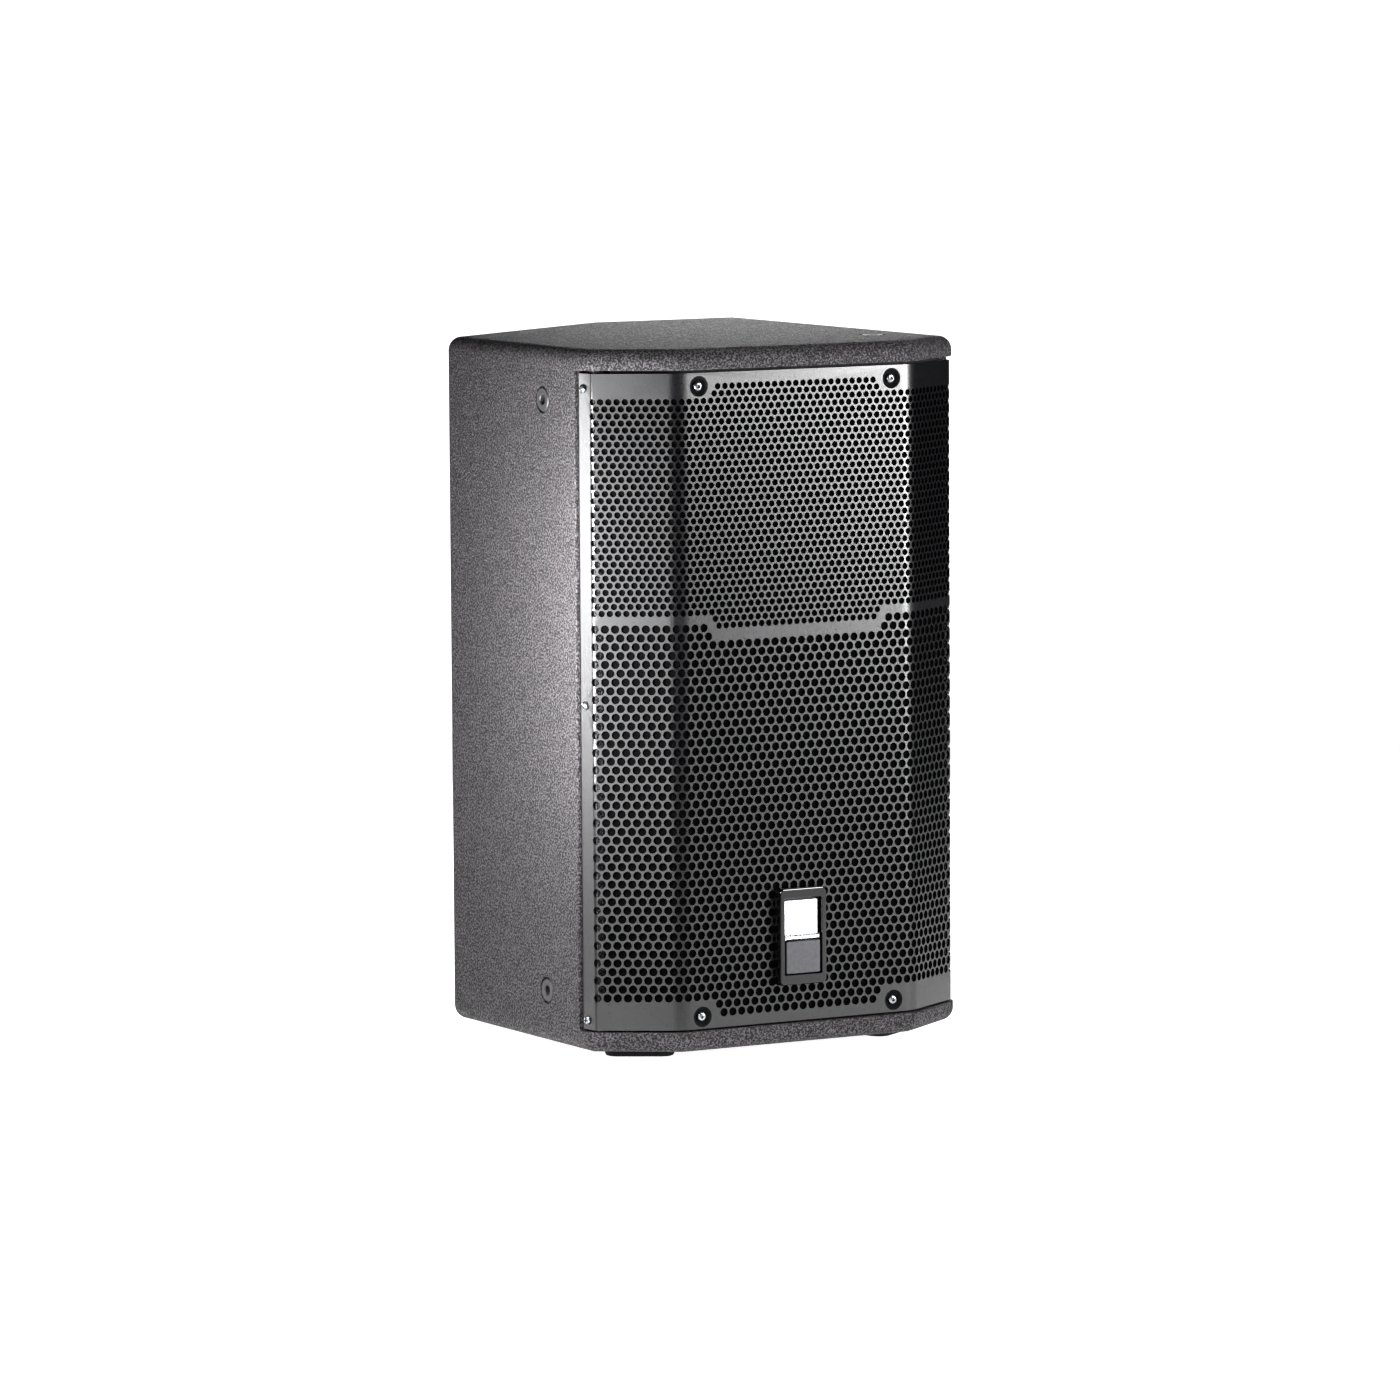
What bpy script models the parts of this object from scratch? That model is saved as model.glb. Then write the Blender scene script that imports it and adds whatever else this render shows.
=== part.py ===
"""Two-way PA speaker: a painted plywood cabinet with a cut rear-left face, a 12-inch woofer and a horn.

Pieces are modelled in the cabinet's own frame: X across, Y back from the face of the grille and Z up from
the underside of the wood. The empty "cabinet" carries them all and puts the world origin on the floor,
under the middle of the whole speaker.
"""

import math

import bmesh
import bpy
from mathutils import Vector

# Cabinet, in metres
WIDTH = 0.371
WOOD_HEIGHT = 0.605
BACK_Y = 0.4223
WOOD = 0.018
CORNER_R = 0.0125
EDGE_R = 0.012
LIP_Y = -0.004
LIP_CORNER_Y = 0.0438
LIP_BEND_R = 0.029
SIDE_FRONT_Y = 0.0575
CUT_X = 0.027
CUT_Y = 0.2906
REBATE = 0.0095
FOOT_H = 0.008
GAP = 0.0003
MITRE_GAP = 0.0002

# Grille
SHEET = 0.0015
GRILLE_BEND_X = 0.116
GRILLE_BEND_R = 0.030
GRILLE_SIDE_INSET = 0.0065
GRILLE_SIDE_Y = 0.0395
GRILLE_END_INSET = 0.0031
GRILLE_END_Y = 0.0564
FLANGE_BEND_R = 0.003
GRILLE_TOP_GAP = 0.0026
GRILLE_BOTTOM_GAP = 0.0016
FOAM = 0.004
FOAM_EDGE = 0.0255

# Grille screws
SCREW_X = 0.0959
SCREW_FROM_TOP = 0.0114
SCREW_FROM_BOTTOM = 0.0105
SCREW_R = 0.003
SCREW_HEAD_R = 0.0046
SCREW_LENGTH = 0.028
SEAT_R = 0.0087
SEAT_DEPTH = 0.003
SIDE_SCREW_R = 0.00175
SIDE_SCREW_HEAD_R = 0.0038
SIDE_SCREW_Y = 0.050
SIDE_SCREW_LENGTH = 0.0125
SIDE_SCREW_FROM_TOP = 0.0129
SIDE_SCREW_FROM_BOTTOM = 0.0081
POST_HALF = 0.008

# Baffle, rail and brace
BAFFLE_Y = 0.040
RAIL_BELOW_SCREW = 0.0103
BRACE = 0.012
BRACE_ABOVE_WOOFER = 0.007
BRACE_WINDOW = (0.200, 0.160)
BRACE_WINDOW_AT = (-0.020, 0.220)

# Badge
BADGE_SIZE = (0.048, 0.0855)
BADGE_Z = 0.0943
BADGE_PROUD = 0.009
BADGE_UPPER = (0.0340, 0.0346)
BADGE_UPPER_DOWN = 0.0114
BADGE_LOWER = (0.0337, 0.0282)
BADGE_LOWER_DOWN = 0.0469

# Woofer
WOOFER_Z = 0.190
WOOFER_R = 0.156
WOOFER_HOLE_R = 0.141
FLANGE_T = 0.006
CONE_R = 0.1145
COIL_R = 0.0342
CAGE_R = 0.080
MAGNET_R = 0.084

# Horn and driver
HORN_BELOW_TOP = 0.136
HORN_FLANGE = (0.300, 0.186)
HORN_MOUTH = (0.270, 0.158)
HORN_THROAT_R = 0.0127
HORN_BACK_Y = 0.150
DRIVER_R = 0.050
DRIVER_LENGTH = 0.065

# Ports
PORT_R = 0.028
PORT_WALL = 0.0025
PORT_FLANGE_R = PORT_R + 0.003
PORT_LENGTH = 0.130
PORT_MARGIN = 0.001
PORT_LIP = 0.003

# Input panel
INPUT_X = 0.106
INPUT_Z = 0.150
INPUT_FLANGE = (0.130, 0.110)
INPUT_MOUTH = (0.112, 0.092)
INPUT_FLOOR = (0.106, 0.086)
INPUT_DEPTH = 0.030
PANEL_T = 0.002
CONNECTOR_R = 0.0115
CONNECTOR_FLANGE_R = CONNECTOR_R + 0.004
CONNECTOR_LENGTH = 0.028
CONNECTOR_X = (-0.032, 0.008)
SOCKET_Z = 0.012
SWITCH_X = 0.040
SLIDER = (0.0044, 0.0060)
SWITCH_TRAVEL = 0.005
BOARD_SIZE = (0.100, 0.084)
BOARD_T = 0.0016
LEAD_GAP = 0.0008

# Side handle
HANDLE_Y = 0.250
HANDLE_Z = 0.430
HANDLE_FLANGE = (0.166, 0.111)
HANDLE_MOUTH = (0.150, 0.095)
HANDLE_FLOOR = (0.140, 0.085)
HANDLE_DEPTH = 0.055
HANDLE_WALL = 0.0025
BAR_R = 0.011
BAR_DEPTH = 0.0125

# Pole socket, suspension points and feet
POLE_R = 0.0178
POLE_WALL = 0.002
POLE_DEPTH = 0.098
POLE_FLANGE_R = 0.050
POLE_Y = 0.215
INSERT_R = 0.0115
INSERT_HOLE_R = 0.0042
INSERT_HOLE_DEPTH = 0.016
INSERT_Y = 0.115
INSERT_FROM_END = 0.046
TOP_INSERT = (0.134, 0.095)
FOOT_SIZE = (0.060, 0.026)
FRONT_FOOT_AT = (0.125, 0.059)
REAR_RIGHT_FOOT_INSET = (0.045, 0.040)
REAR_LEFT_FOOT_ALONG = 0.065
REAR_LEFT_FOOT_IN = 0.029

HALF = WIDTH / 2
INNER = HALF - WOOD
LOW = WOOD + GAP
HIGH = WOOD_HEIGHT - WOOD - GAP
GRILLE_LOW = WOOD + GRILLE_BOTTOM_GAP
GRILLE_HIGH = WOOD_HEIGHT - WOOD - GRILLE_TOP_GAP
SCREW_Z = {"lower": GRILLE_LOW + SCREW_FROM_BOTTOM, "upper": GRILLE_HIGH - SCREW_FROM_TOP}
HORN_Z = WOOD_HEIGHT - HORN_BELOW_TOP
FLANGE_Y = BAFFLE_Y - GAP - FLANGE_T
PANEL_FLOOR_Y = BACK_Y - INPUT_DEPTH


def fillet(points, radii, steps=4, closed=True):
    """An outline whose corners are replaced by arcs that touch both sides."""
    out = []
    count = len(points)
    for i, point in enumerate(points):
        if radii[i] <= 0 or (not closed and i in (0, count - 1)):
            out.append(Vector(point))
            continue
        here = Vector(point)
        back = (Vector(points[i - 1]) - here).normalized()
        ahead = (Vector(points[(i + 1) % count]) - here).normalized()
        half = back.angle(ahead) / 2
        centre = here + (back + ahead).normalized() * radii[i] / math.sin(half)
        start = here + back * radii[i] / math.tan(half) - centre
        finish = here + ahead * radii[i] / math.tan(half) - centre
        sweep = start.angle_signed(finish)
        for k in range(steps + 1):
            turn = -sweep * k / steps
            c, s = math.cos(turn), math.sin(turn)
            out.append(centre + Vector((start.x * c - start.y * s, start.x * s + start.y * c)))
    return out


def offset(points, distance, closed=True):
    """The same outline moved sideways, to the left of its direction."""
    out = []
    count = len(points)
    for i in range(count):
        sides = []
        for a, b in ((i - 1, i), (i, i + 1)):
            if closed or (a >= 0 and b < count):
                run = (Vector(points[b % count]) - Vector(points[a])).normalized()
                sides.append(Vector((-run.y, run.x)))
        mitre = (sides[0] + sides[-1]).normalized()
        out.append(Vector(points[i]) + mitre * distance / mitre.dot(sides[0]))
    return out


def rounded_rect(width, height, radius, steps=3):
    """A rectangle about the origin with rounded corners."""
    x, y = width / 2, height / 2
    corners = [(x, -y), (x, y), (-x, y), (-x, -y)]
    return fillet(corners, [min(radius, x * 0.999, y * 0.999)] * 4, steps)


def ring(points, axis, level, centre=(0, 0, 0)):
    """Plane points as a ring at a level along an axis."""
    order = {"X": lambda a, b: (level, a, b), "Y": lambda a, b: (a, level, b), "Z": lambda a, b: (a, b, level)}
    return [Vector(order[axis](p[0], p[1])) + Vector(centre) for p in points]


def circle(radius, count):
    return [(radius * math.cos(2 * math.pi * k / count), radius * math.sin(2 * math.pi * k / count))
            for k in range(count)]


def skin(rings, loop=False):
    """A closed mesh through rings of equally many points, capped at both ends unless it loops."""
    mesh = bmesh.new()
    rows = [[mesh.verts.new(p) for p in points] for points in rings]
    pairs = list(zip(rows, rows[1:]))
    if loop:
        pairs.append((rows[-1], rows[0]))
    for low, high in pairs:
        for i in range(len(low)):
            j = (i + 1) % len(low)
            mesh.faces.new((low[i], low[j], high[j], high[i]))
    if not loop:
        mesh.faces.new(rows[0][::-1])
        mesh.faces.new(rows[-1])
    bmesh.ops.recalc_face_normals(mesh, faces=mesh.faces)
    return mesh


def turned(profile, axis="Y", count=32, loop=False):
    """A profile of (radius, level) points turned round an axis."""
    return skin([ring(circle(r, count), axis, level) for r, level in profile], loop)


def prism(outline, low, high, axis="Z"):
    return skin([ring(outline, axis, low), ring(outline, axis, high)])


def block(low, high):
    outline = [(low[0], low[1]), (high[0], low[1]), (high[0], high[1]), (low[0], high[1])]
    return prism(outline, low[2], high[2])


def finish(name, colour, rough, metal=0.0):
    """A plain surface finish."""
    material = bpy.data.materials.new(name)
    material.use_nodes = True
    shader = material.node_tree.nodes["Principled BSDF"]
    shader.inputs["Base Color"].default_value = (*colour, 1)
    shader.inputs["Roughness"].default_value = rough
    shader.inputs["Metallic"].default_value = metal
    return material


def add(name, mesh, material=None, location=(0, 0, 0), axis=None):
    """An object of the cabinet; with no material it is a cutter, left out of the model."""
    data = bpy.data.meshes.new(name)
    mesh.to_mesh(data)
    mesh.free()
    data.shade_smooth()
    data.set_sharp_from_angle(angle=math.radians(35))
    thing = bpy.data.objects.new(name, data)
    bpy.context.collection.objects.link(thing)
    thing.parent = CABINET
    thing.location = location
    if axis is not None:
        thing.rotation_euler = Vector(axis).to_track_quat("Z", "Y").to_euler()
    if material is None:
        thing.hide_render = True
        thing.display_type = "WIRE"
    else:
        data.materials.append(material)
    return thing


def shape(target, tool, operation="DIFFERENCE"):
    modifier = target.modifiers.new(tool.name, "BOOLEAN")
    modifier.operation = operation
    modifier.solver = "EXACT"
    modifier.object = tool


def cabinet_corners():
    """Plan of the boards, anticlockwise from the front left bend."""
    return [(-GRILLE_BEND_X, LIP_Y), (GRILLE_BEND_X, LIP_Y), (HALF, LIP_CORNER_Y), (HALF, BACK_Y),
            (CUT_X, BACK_Y), (-HALF, CUT_Y), (-HALF, LIP_CORNER_Y)]


def board(name, flat_z, edge_z, material):
    """Top or bottom board: a square edge at flat_z and a rounded one at edge_z."""
    corners = cabinet_corners()
    radii = [LIP_BEND_R, LIP_BEND_R] + [CORNER_R] * 5
    way = 1 if edge_z > flat_z else -1
    rings = [ring(fillet(corners, radii), "Z", flat_z)]
    steps = 4
    for k in range(steps + 1):
        turn = math.pi / 2 * k / steps
        inward = EDGE_R * (1 - math.cos(turn))
        level = edge_z - way * EDGE_R * (1 - math.sin(turn))
        outline = fillet(offset(corners, inward), [r - inward for r in radii])
        rings.append(ring(outline, "Z", level))
    return add(name, skin(rings), material)


def wall_outlines():
    """Plan of each upright panel, mitred where two of them meet."""
    corners = [(HALF, SIDE_FRONT_Y), (HALF, BACK_Y), (CUT_X, BACK_Y), (-HALF, CUT_Y), (-HALF, SIDE_FRONT_Y)]
    inner = offset(corners, WOOD)
    steps = 4
    names = ("right_side_panel", "back_panel", "rear_left_panel", "left_side_panel")
    outlines = {}
    for i, name in enumerate(names):
        along = (Vector(corners[i + 1]) - Vector(corners[i])).normalized() * MITRE_GAP
        arcs = {}
        for c in (i, i + 1):
            radii = [CORNER_R if k == c else 0 for k in range(5)]
            arcs[c] = fillet(corners, radii, steps)[c:c + steps + 1]
        if i == 0:
            first = tongue(1)
        else:
            first = [inner[i] + along] + [p + along for p in arcs[i][steps // 2:]]
        if i == 3:
            last = tongue(-1)[::-1]
        else:
            last = [p - along for p in arcs[i + 1][:steps // 2 + 1]] + [inner[i + 1] - along]
        outlines[name] = first + last
    return outlines


def tongue(side):
    """Front end of a side panel: a thin tongue behind the grille's flange, then the full thickness."""
    return [Vector((side * INNER, BAFFLE_Y)), Vector((side * (HALF - REBATE), BAFFLE_Y)),
            Vector((side * (HALF - REBATE), SIDE_FRONT_Y)), Vector((side * HALF, SIDE_FRONT_Y))]


def cabinet_panels(paint):
    panels = {"top_board": board("top_board", WOOD_HEIGHT - WOOD, WOOD_HEIGHT, paint),
              "bottom_board": board("bottom_board", WOOD, 0, paint)}
    for name, outline in wall_outlines().items():
        panels[name] = add(name, prism(outline, LOW, HIGH), paint)
    return panels


def grille_path(inward, edge=0.0):
    """Plan of the grille, moved back by inward; edge trims its flanges off and shortens the facets."""
    side = (HALF - GRILLE_SIDE_INSET, GRILLE_SIDE_Y)
    points = [(-side[0], side[1]), (-GRILLE_BEND_X, 0), (GRILLE_BEND_X, 0), side]
    radii = [0, GRILLE_BEND_R - inward, GRILLE_BEND_R - inward, 0]
    if edge:
        x = HALF - edge
        y = GRILLE_SIDE_Y * (x - GRILLE_BEND_X) / (side[0] - GRILLE_BEND_X)
        points[0], points[-1] = (-x, y), (x, y)
    else:
        end = HALF - GRILLE_END_INSET
        points = [(-end, GRILLE_END_Y)] + points + [(end, GRILLE_END_Y)]
        radii = [0, FLANGE_BEND_R - inward] + radii[1:3] + [FLANGE_BEND_R - inward, 0]
    return fillet(offset(points, inward, closed=False), radii, closed=False)


def screw_profile():
    """A cap screw along +Y: socket, head and shank."""
    head = SEAT_DEPTH - GAP
    return [(0.0022, 0.002), (0.0022, 0.0), (SCREW_HEAD_R - 0.0004, 0.0), (SCREW_HEAD_R, 0.0004),
            (SCREW_HEAD_R, head), (SCREW_R, head), (SCREW_R, SCREW_LENGTH)]


def foam_room(depth):
    """The foam's least distance from the side, so that its slanting back clears the ports' lips."""
    facet = Vector((HALF - GRILLE_SIDE_INSET - GRILLE_BEND_X, GRILLE_SIDE_Y))
    deepest = BAFFLE_Y - PORT_LIP - PORT_MARGIN - depth * facet.length / facet.x
    return HALF - GRILLE_BEND_X - deepest * facet.x / facet.y


def grille_group(panels, black, foam_black, plywood, steel):
    outline = grille_path(0) + grille_path(SHEET)[::-1]
    grille = add("grille", prism(outline, GRILLE_LOW, GRILLE_HIGH), black)

    foam_front = SHEET + GAP
    foam_edge = max(FOAM_EDGE, foam_room(foam_front + FOAM))
    outline = grille_path(foam_front, foam_edge) + grille_path(foam_front + FOAM, foam_edge)[::-1]
    rail_low = SCREW_Z["upper"] - RAIL_BELOW_SCREW
    foam = add("grille_foam", prism(outline, GRILLE_LOW + 0.004, rail_low - 0.001), foam_black)

    seat_back = SEAT_DEPTH + 0.0012
    rest_y = seat_back + GAP
    outline = grille_path(rest_y, WOOD + 0.002)
    x = outline[-1].x
    outline += [Vector((x, BAFFLE_Y - GAP)), Vector((-x, BAFFLE_Y - GAP))]
    rail = add("grille_rail_upper", prism(outline, rail_low, HIGH), plywood)

    seat = [(SEAT_R + 0.0007, 0.0002), (SEAT_R, 0.0002), (0.0062, SEAT_DEPTH), (SCREW_R + 0.0004, SEAT_DEPTH),
            (SCREW_R + 0.0004, seat_back), (0.0066, seat_back), (SEAT_R + 0.0007, SHEET - 0.0002)]
    port_clear = INNER - 2 * PORT_FLANGE_R - PORT_MARGIN - GAP - SCREW_X
    for side, way in (("left", -1), ("right", 1)):
        x = way * SCREW_X
        reach = sorted((x - way * POST_HALF, x + way * min(POST_HALF, port_clear)))
        post = add(f"grille_post_{side}", block((reach[0], rest_y, LOW),
                   (reach[1], BAFFLE_Y - GAP, SCREW_Z["lower"] + 0.011)), plywood)
        notch_half = SEAT_R + 0.0015
        notch = add(f"cut_foam_{side}", block((x - notch_half, 0, 0),
                    (x + notch_half, BAFFLE_Y, SCREW_Z["lower"] + 0.012)))
        shape(foam, notch)
        for level, z in SCREW_Z.items():
            at = (x, 0, z)
            hole = add(f"cut_seat_{side}_{level}", turned([(SEAT_R, -0.01), (SEAT_R, 0.01)], count=20), None, at)
            cup = add(f"cup_{side}_{level}", turned(seat, count=20, loop=True), None, at)
            shape(grille, hole)
            shape(grille, cup, "UNION")
            bore_r = SCREW_R + GAP
            bore = add(f"cut_bore_{side}_{level}",
                       turned([(bore_r, 0.003), (bore_r, SCREW_LENGTH + 0.001)], count=16), None, at)
            shape(post if level == "lower" else rail, bore)
            add(f"grille_screw_{level}_{side}", turned(screw_profile(), count=16), steel, at)
        side_screws(side, way, grille, panels[f"{side}_side_panel"], steel)


def side_screws(side, way, grille, panel, steel):
    """Three pan-head screws through each flange into the side panel's tongue."""
    top_x = HALF - GRILLE_SIDE_INSET
    end_x = HALF - GRILLE_END_INSET
    run = Vector((end_x - top_x, GRILLE_END_Y - GRILLE_SIDE_Y, 0)).normalized()
    inward = Vector((-way * run.y, run.x, 0))
    x = top_x + (end_x - top_x) * (SIDE_SCREW_Y - GRILLE_SIDE_Y) / (GRILLE_END_Y - GRILLE_SIDE_Y)
    head = [(0.0010, -0.0014), (0.0016, -0.0021), (SIDE_SCREW_HEAD_R - 0.0008, -0.0021),
            (SIDE_SCREW_HEAD_R, -0.0013), (SIDE_SCREW_HEAD_R, -GAP), (SIDE_SCREW_R, -GAP),
            (SIDE_SCREW_R, SIDE_SCREW_LENGTH)]
    low = GRILLE_LOW + SIDE_SCREW_FROM_BOTTOM
    high = GRILLE_HIGH - SIDE_SCREW_FROM_TOP
    for level, z in (("lower", low), ("middle", (low + high) / 2), ("upper", high)):
        at = (way * x, SIDE_SCREW_Y, z)
        bore_r = SIDE_SCREW_R + GAP
        bore = add(f"cut_side_{side}_{level}", turned([(bore_r, -0.003), (bore_r, SIDE_SCREW_LENGTH + GAP)], "Z", 12),
                   None, at, inward)
        shape(grille, bore)
        shape(panel, bore)
        add(f"grille_side_screw_{level}_{side}", turned(head, "Z", 12), steel, at, inward)


def badge(gloss, silver, grey):
    """A raised bezel on the grille with two blank plates in its pocket."""
    width, height = BADGE_SIZE
    pocket = -BADGE_PROUD + 0.002
    at = (0, 0, BADGE_Z)
    rings = []
    for inset, level, radius in ((0.0040, pocket, 0.003), (0.0040, -BADGE_PROUD, 0.003),
                                 (0.0022, -BADGE_PROUD, 0.004), (0.0006, -BADGE_PROUD + 0.0014, 0.005),
                                 (0.0, -GAP, 0.005)):
        outline = rounded_rect(width - 2 * inset, height - 2 * inset, radius)
        rings.append(ring(outline, "Y", level))
    add("badge_bezel", skin(rings), gloss, at)
    for name, size, down, material in (("badge_upper_plate", BADGE_UPPER, BADGE_UPPER_DOWN, silver),
                                       ("badge_lower_plate", BADGE_LOWER, BADGE_LOWER_DOWN, grey)):
        z = BADGE_Z + height / 2 - down - size[1] / 2
        plate = prism(rounded_rect(*size, 0.002), pocket - GAP, pocket - 0.0014, "Y")
        add(name, plate, material, (0, 0, z))


def baffle_group(plywood):
    outline = [(-INNER + GAP, BAFFLE_Y), (INNER - GAP, BAFFLE_Y),
               (INNER - GAP, BAFFLE_Y + WOOD), (-INNER + GAP, BAFFLE_Y + WOOD)]
    baffle = add("front_baffle", prism(outline, LOW, HIGH), plywood)
    through = (BAFFLE_Y - 0.01, BAFFLE_Y + WOOD + 0.01)
    hole_r = WOOFER_HOLE_R + GAP
    woofer_hole = add("cut_woofer", turned([(hole_r, through[0]), (hole_r, through[1])], count=48), None,
                      (0, 0, WOOFER_Z))
    shape(baffle, woofer_hole)
    width, height = HORN_MOUTH[0] + 0.010, HORN_MOUTH[1] + 0.010
    horn_hole = add("cut_horn", prism(rounded_rect(width, height, 0.034), *through, "Y"), None, (0, 0, HORN_Z))
    shape(baffle, horn_hole)
    for side, way in (("left", -1), ("right", 1)):
        r = PORT_R + GAP
        port_hole = add(f"cut_port_{side}", turned([(r, through[0]), (r, through[1])]), None, port_at(way))
        shape(baffle, port_hole)

    walls = offset([(HALF, BAFFLE_Y), (HALF, BACK_Y), (CUT_X, BACK_Y), (-HALF, CUT_Y), (-HALF, BAFFLE_Y)], WOOD)
    corners = [(-INNER, BAFFLE_Y + WOOD), (INNER, BAFFLE_Y + WOOD)] + [tuple(p) for p in walls[1:4]]
    low = WOOFER_Z + WOOFER_R + BRACE_ABOVE_WOOFER
    brace = add("shelf_brace", prism(offset(corners, GAP), low, low + BRACE), plywood)
    window = add("cut_brace", prism(rounded_rect(*BRACE_WINDOW, 0.03), low - 0.01, low + BRACE + 0.01), None,
                 (*BRACE_WINDOW_AT, 0))
    shape(brace, window)


def port_at(way):
    edge = PORT_FLANGE_R + PORT_MARGIN
    return (way * (INNER - edge), 0, WOOD + edge)


def ports(plastic):
    back = BAFFLE_Y - GAP
    inner = PORT_R - PORT_WALL
    profile = [(PORT_FLANGE_R - 0.001, back - PORT_LIP), (PORT_FLANGE_R, back - 0.002), (PORT_FLANGE_R, back),
               (PORT_R, back), (PORT_R, back + PORT_LENGTH), (inner, back + PORT_LENGTH),
               (inner, back + 0.006), (inner + 0.001, back), (inner + 0.003, back - PORT_LIP)]
    for side, way in (("left", -1), ("right", 1)):
        add(f"port_tube_{side}", turned(profile, count=24, loop=True), plastic, port_at(way))


def cone_y(radius):
    """Depth of the cone's front face at a radius."""
    share = (CONE_R - 0.006 - radius) / (CONE_R - 0.006 - COIL_R - GAP)
    return FLANGE_Y + 0.0578 * (share + 0.15 * math.sin(math.pi * share))


def woofer(iron, paper, rubber, cloth, steel, ferrite, copper):
    at = (0, 0, WOOFER_Z)
    bottom = 0.1215
    rim = WOOFER_HOLE_R - 0.0005
    neck_r = COIL_R + 0.0038
    profile = [(WOOFER_R, FLANGE_Y), (WOOFER_R, FLANGE_Y + FLANGE_T), (rim, FLANGE_Y + FLANGE_T),
               (rim - 0.001, 0.050), (CAGE_R, 0.108), (CAGE_R - 0.002, bottom), (neck_r, bottom), (neck_r, bottom - 0.0035),
               (CAGE_R - 0.008, bottom - 0.0035), (CAGE_R - 0.003, 0.104), (rim - 0.0065, 0.049), (rim - 0.0065, FLANGE_Y)]
    basket = add("woofer_basket", turned(profile, count=36, loop=True), iron, at)
    count = 6
    for k in range(count):
        window = block((-0.025, 0.058, 0.070), (0.025, 0.098, 0.150))
        cutter = add(f"cut_window_{k}", window, None, at)
        cutter.rotation_euler = (0, 2 * math.pi * (k + 0.5) / count, 0)
        shape(basket, cutter)

    lip_r = rim - 0.0065
    roll = (lip_r - CONE_R) / 2
    mid = (lip_r + CONE_R) / 2
    face = FLANGE_Y - GAP
    turns = [math.pi * k / 6 for k in range(7)]
    outer = [(mid + roll * math.cos(a), face - 0.0008 - roll * math.sin(a)) for a in turns]
    inner = [(mid + (roll - 0.0008) * math.cos(a), face - (roll - 0.0008) * math.sin(a)) for a in turns]
    profile = [(lip_r + 0.012, face - 0.0008)] + outer + [(CONE_R - 0.006, face - 0.0008),
                                                         (CONE_R - 0.006, face)] + inner[::-1]
    add("woofer_surround", turned(profile + [(lip_r + 0.012, face)], count=32, loop=True), rubber, at)

    neck = COIL_R + GAP
    steps = 4
    radii = [CONE_R - 0.006 - (CONE_R - 0.006 - neck) * k / steps for k in range(steps + 1)]
    front = [(CONE_R, FLANGE_Y)] + [(r, cone_y(r)) for r in radii]
    tail = cone_y(neck) + 0.004
    back = [(r + 0.0005, y + 0.001) for r, y in front[::-1]][1:]
    profile = front + [(neck, tail), (neck + 0.001, tail)] + back[:-1] + [(CONE_R, FLANGE_Y + 0.001)]
    add("woofer_cone", turned(profile, count=32, loop=True), paper, at)

    cap_r = 0.045
    rise = 0.016
    shares = [1.0, 0.8, 0.55, 0.25]
    seat = cone_y(cap_r) - GAP - 0.0012
    outer = [(cap_r * s, seat - 0.0008 - rise * (1 - s * s)) for s in shares]
    inner = [((cap_r - 0.0008) * s, seat - rise * (1 - s * s)) for s in shares]
    add("woofer_dust_cap", turned(inner[::-1] + outer, count=24), paper, at)

    coil_in = COIL_R - 0.0005
    winding = COIL_R + 0.0011
    profile = [(coil_in, 0.0900), (COIL_R, 0.0900), (COIL_R, 0.1210), (winding, 0.1210), (winding, 0.1370),
               (COIL_R, 0.1370), (COIL_R, 0.1400), (coil_in, 0.1400)]
    add("voice_coil", turned(profile, count=24, loop=True), copper, at)

    waves = 2.5
    points = 10
    span = (COIL_R + GAP, CAGE_R - 0.0035)
    wave = [(span[0] + (span[1] - span[0]) * k / points,
             0.0995 + 0.0013 * math.sin(2 * math.pi * waves * k / points + 0.7)) for k in range(points + 1)]
    profile = wave + [(r, y + 0.0007) for r, y in wave[::-1]]
    add("woofer_spider", turned(profile, count=24, loop=True), cloth, at)

    plate = bottom + GAP
    magnet = plate + 0.008 + GAP
    yoke = magnet + 0.022 + GAP
    gap_r = COIL_R + 0.0023
    bore_r = COIL_R + 0.0108
    ring_shape = [(MAGNET_R - 0.009, plate), (MAGNET_R - 0.009, plate + 0.008), (gap_r, plate + 0.008),
                  (gap_r, plate)]
    add("woofer_top_plate", turned(ring_shape, count=32, loop=True), steel, at)
    ring_shape = [(MAGNET_R, magnet), (MAGNET_R, magnet + 0.022), (bore_r, magnet + 0.022), (bore_r, magnet)]
    add("woofer_magnet", turned(ring_shape, count=32, loop=True), ferrite, at)
    pole_r = COIL_R - 0.0015
    yoke_r = MAGNET_R - 0.009
    profile = [(pole_r - 0.002, plate), (pole_r, plate + 0.001), (pole_r, yoke), (yoke_r, yoke),
               (yoke_r, yoke + 0.009), (yoke_r - 0.002, yoke + 0.010)]
    add("woofer_pole_yoke", turned(profile, count=28), steel, at)


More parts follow.
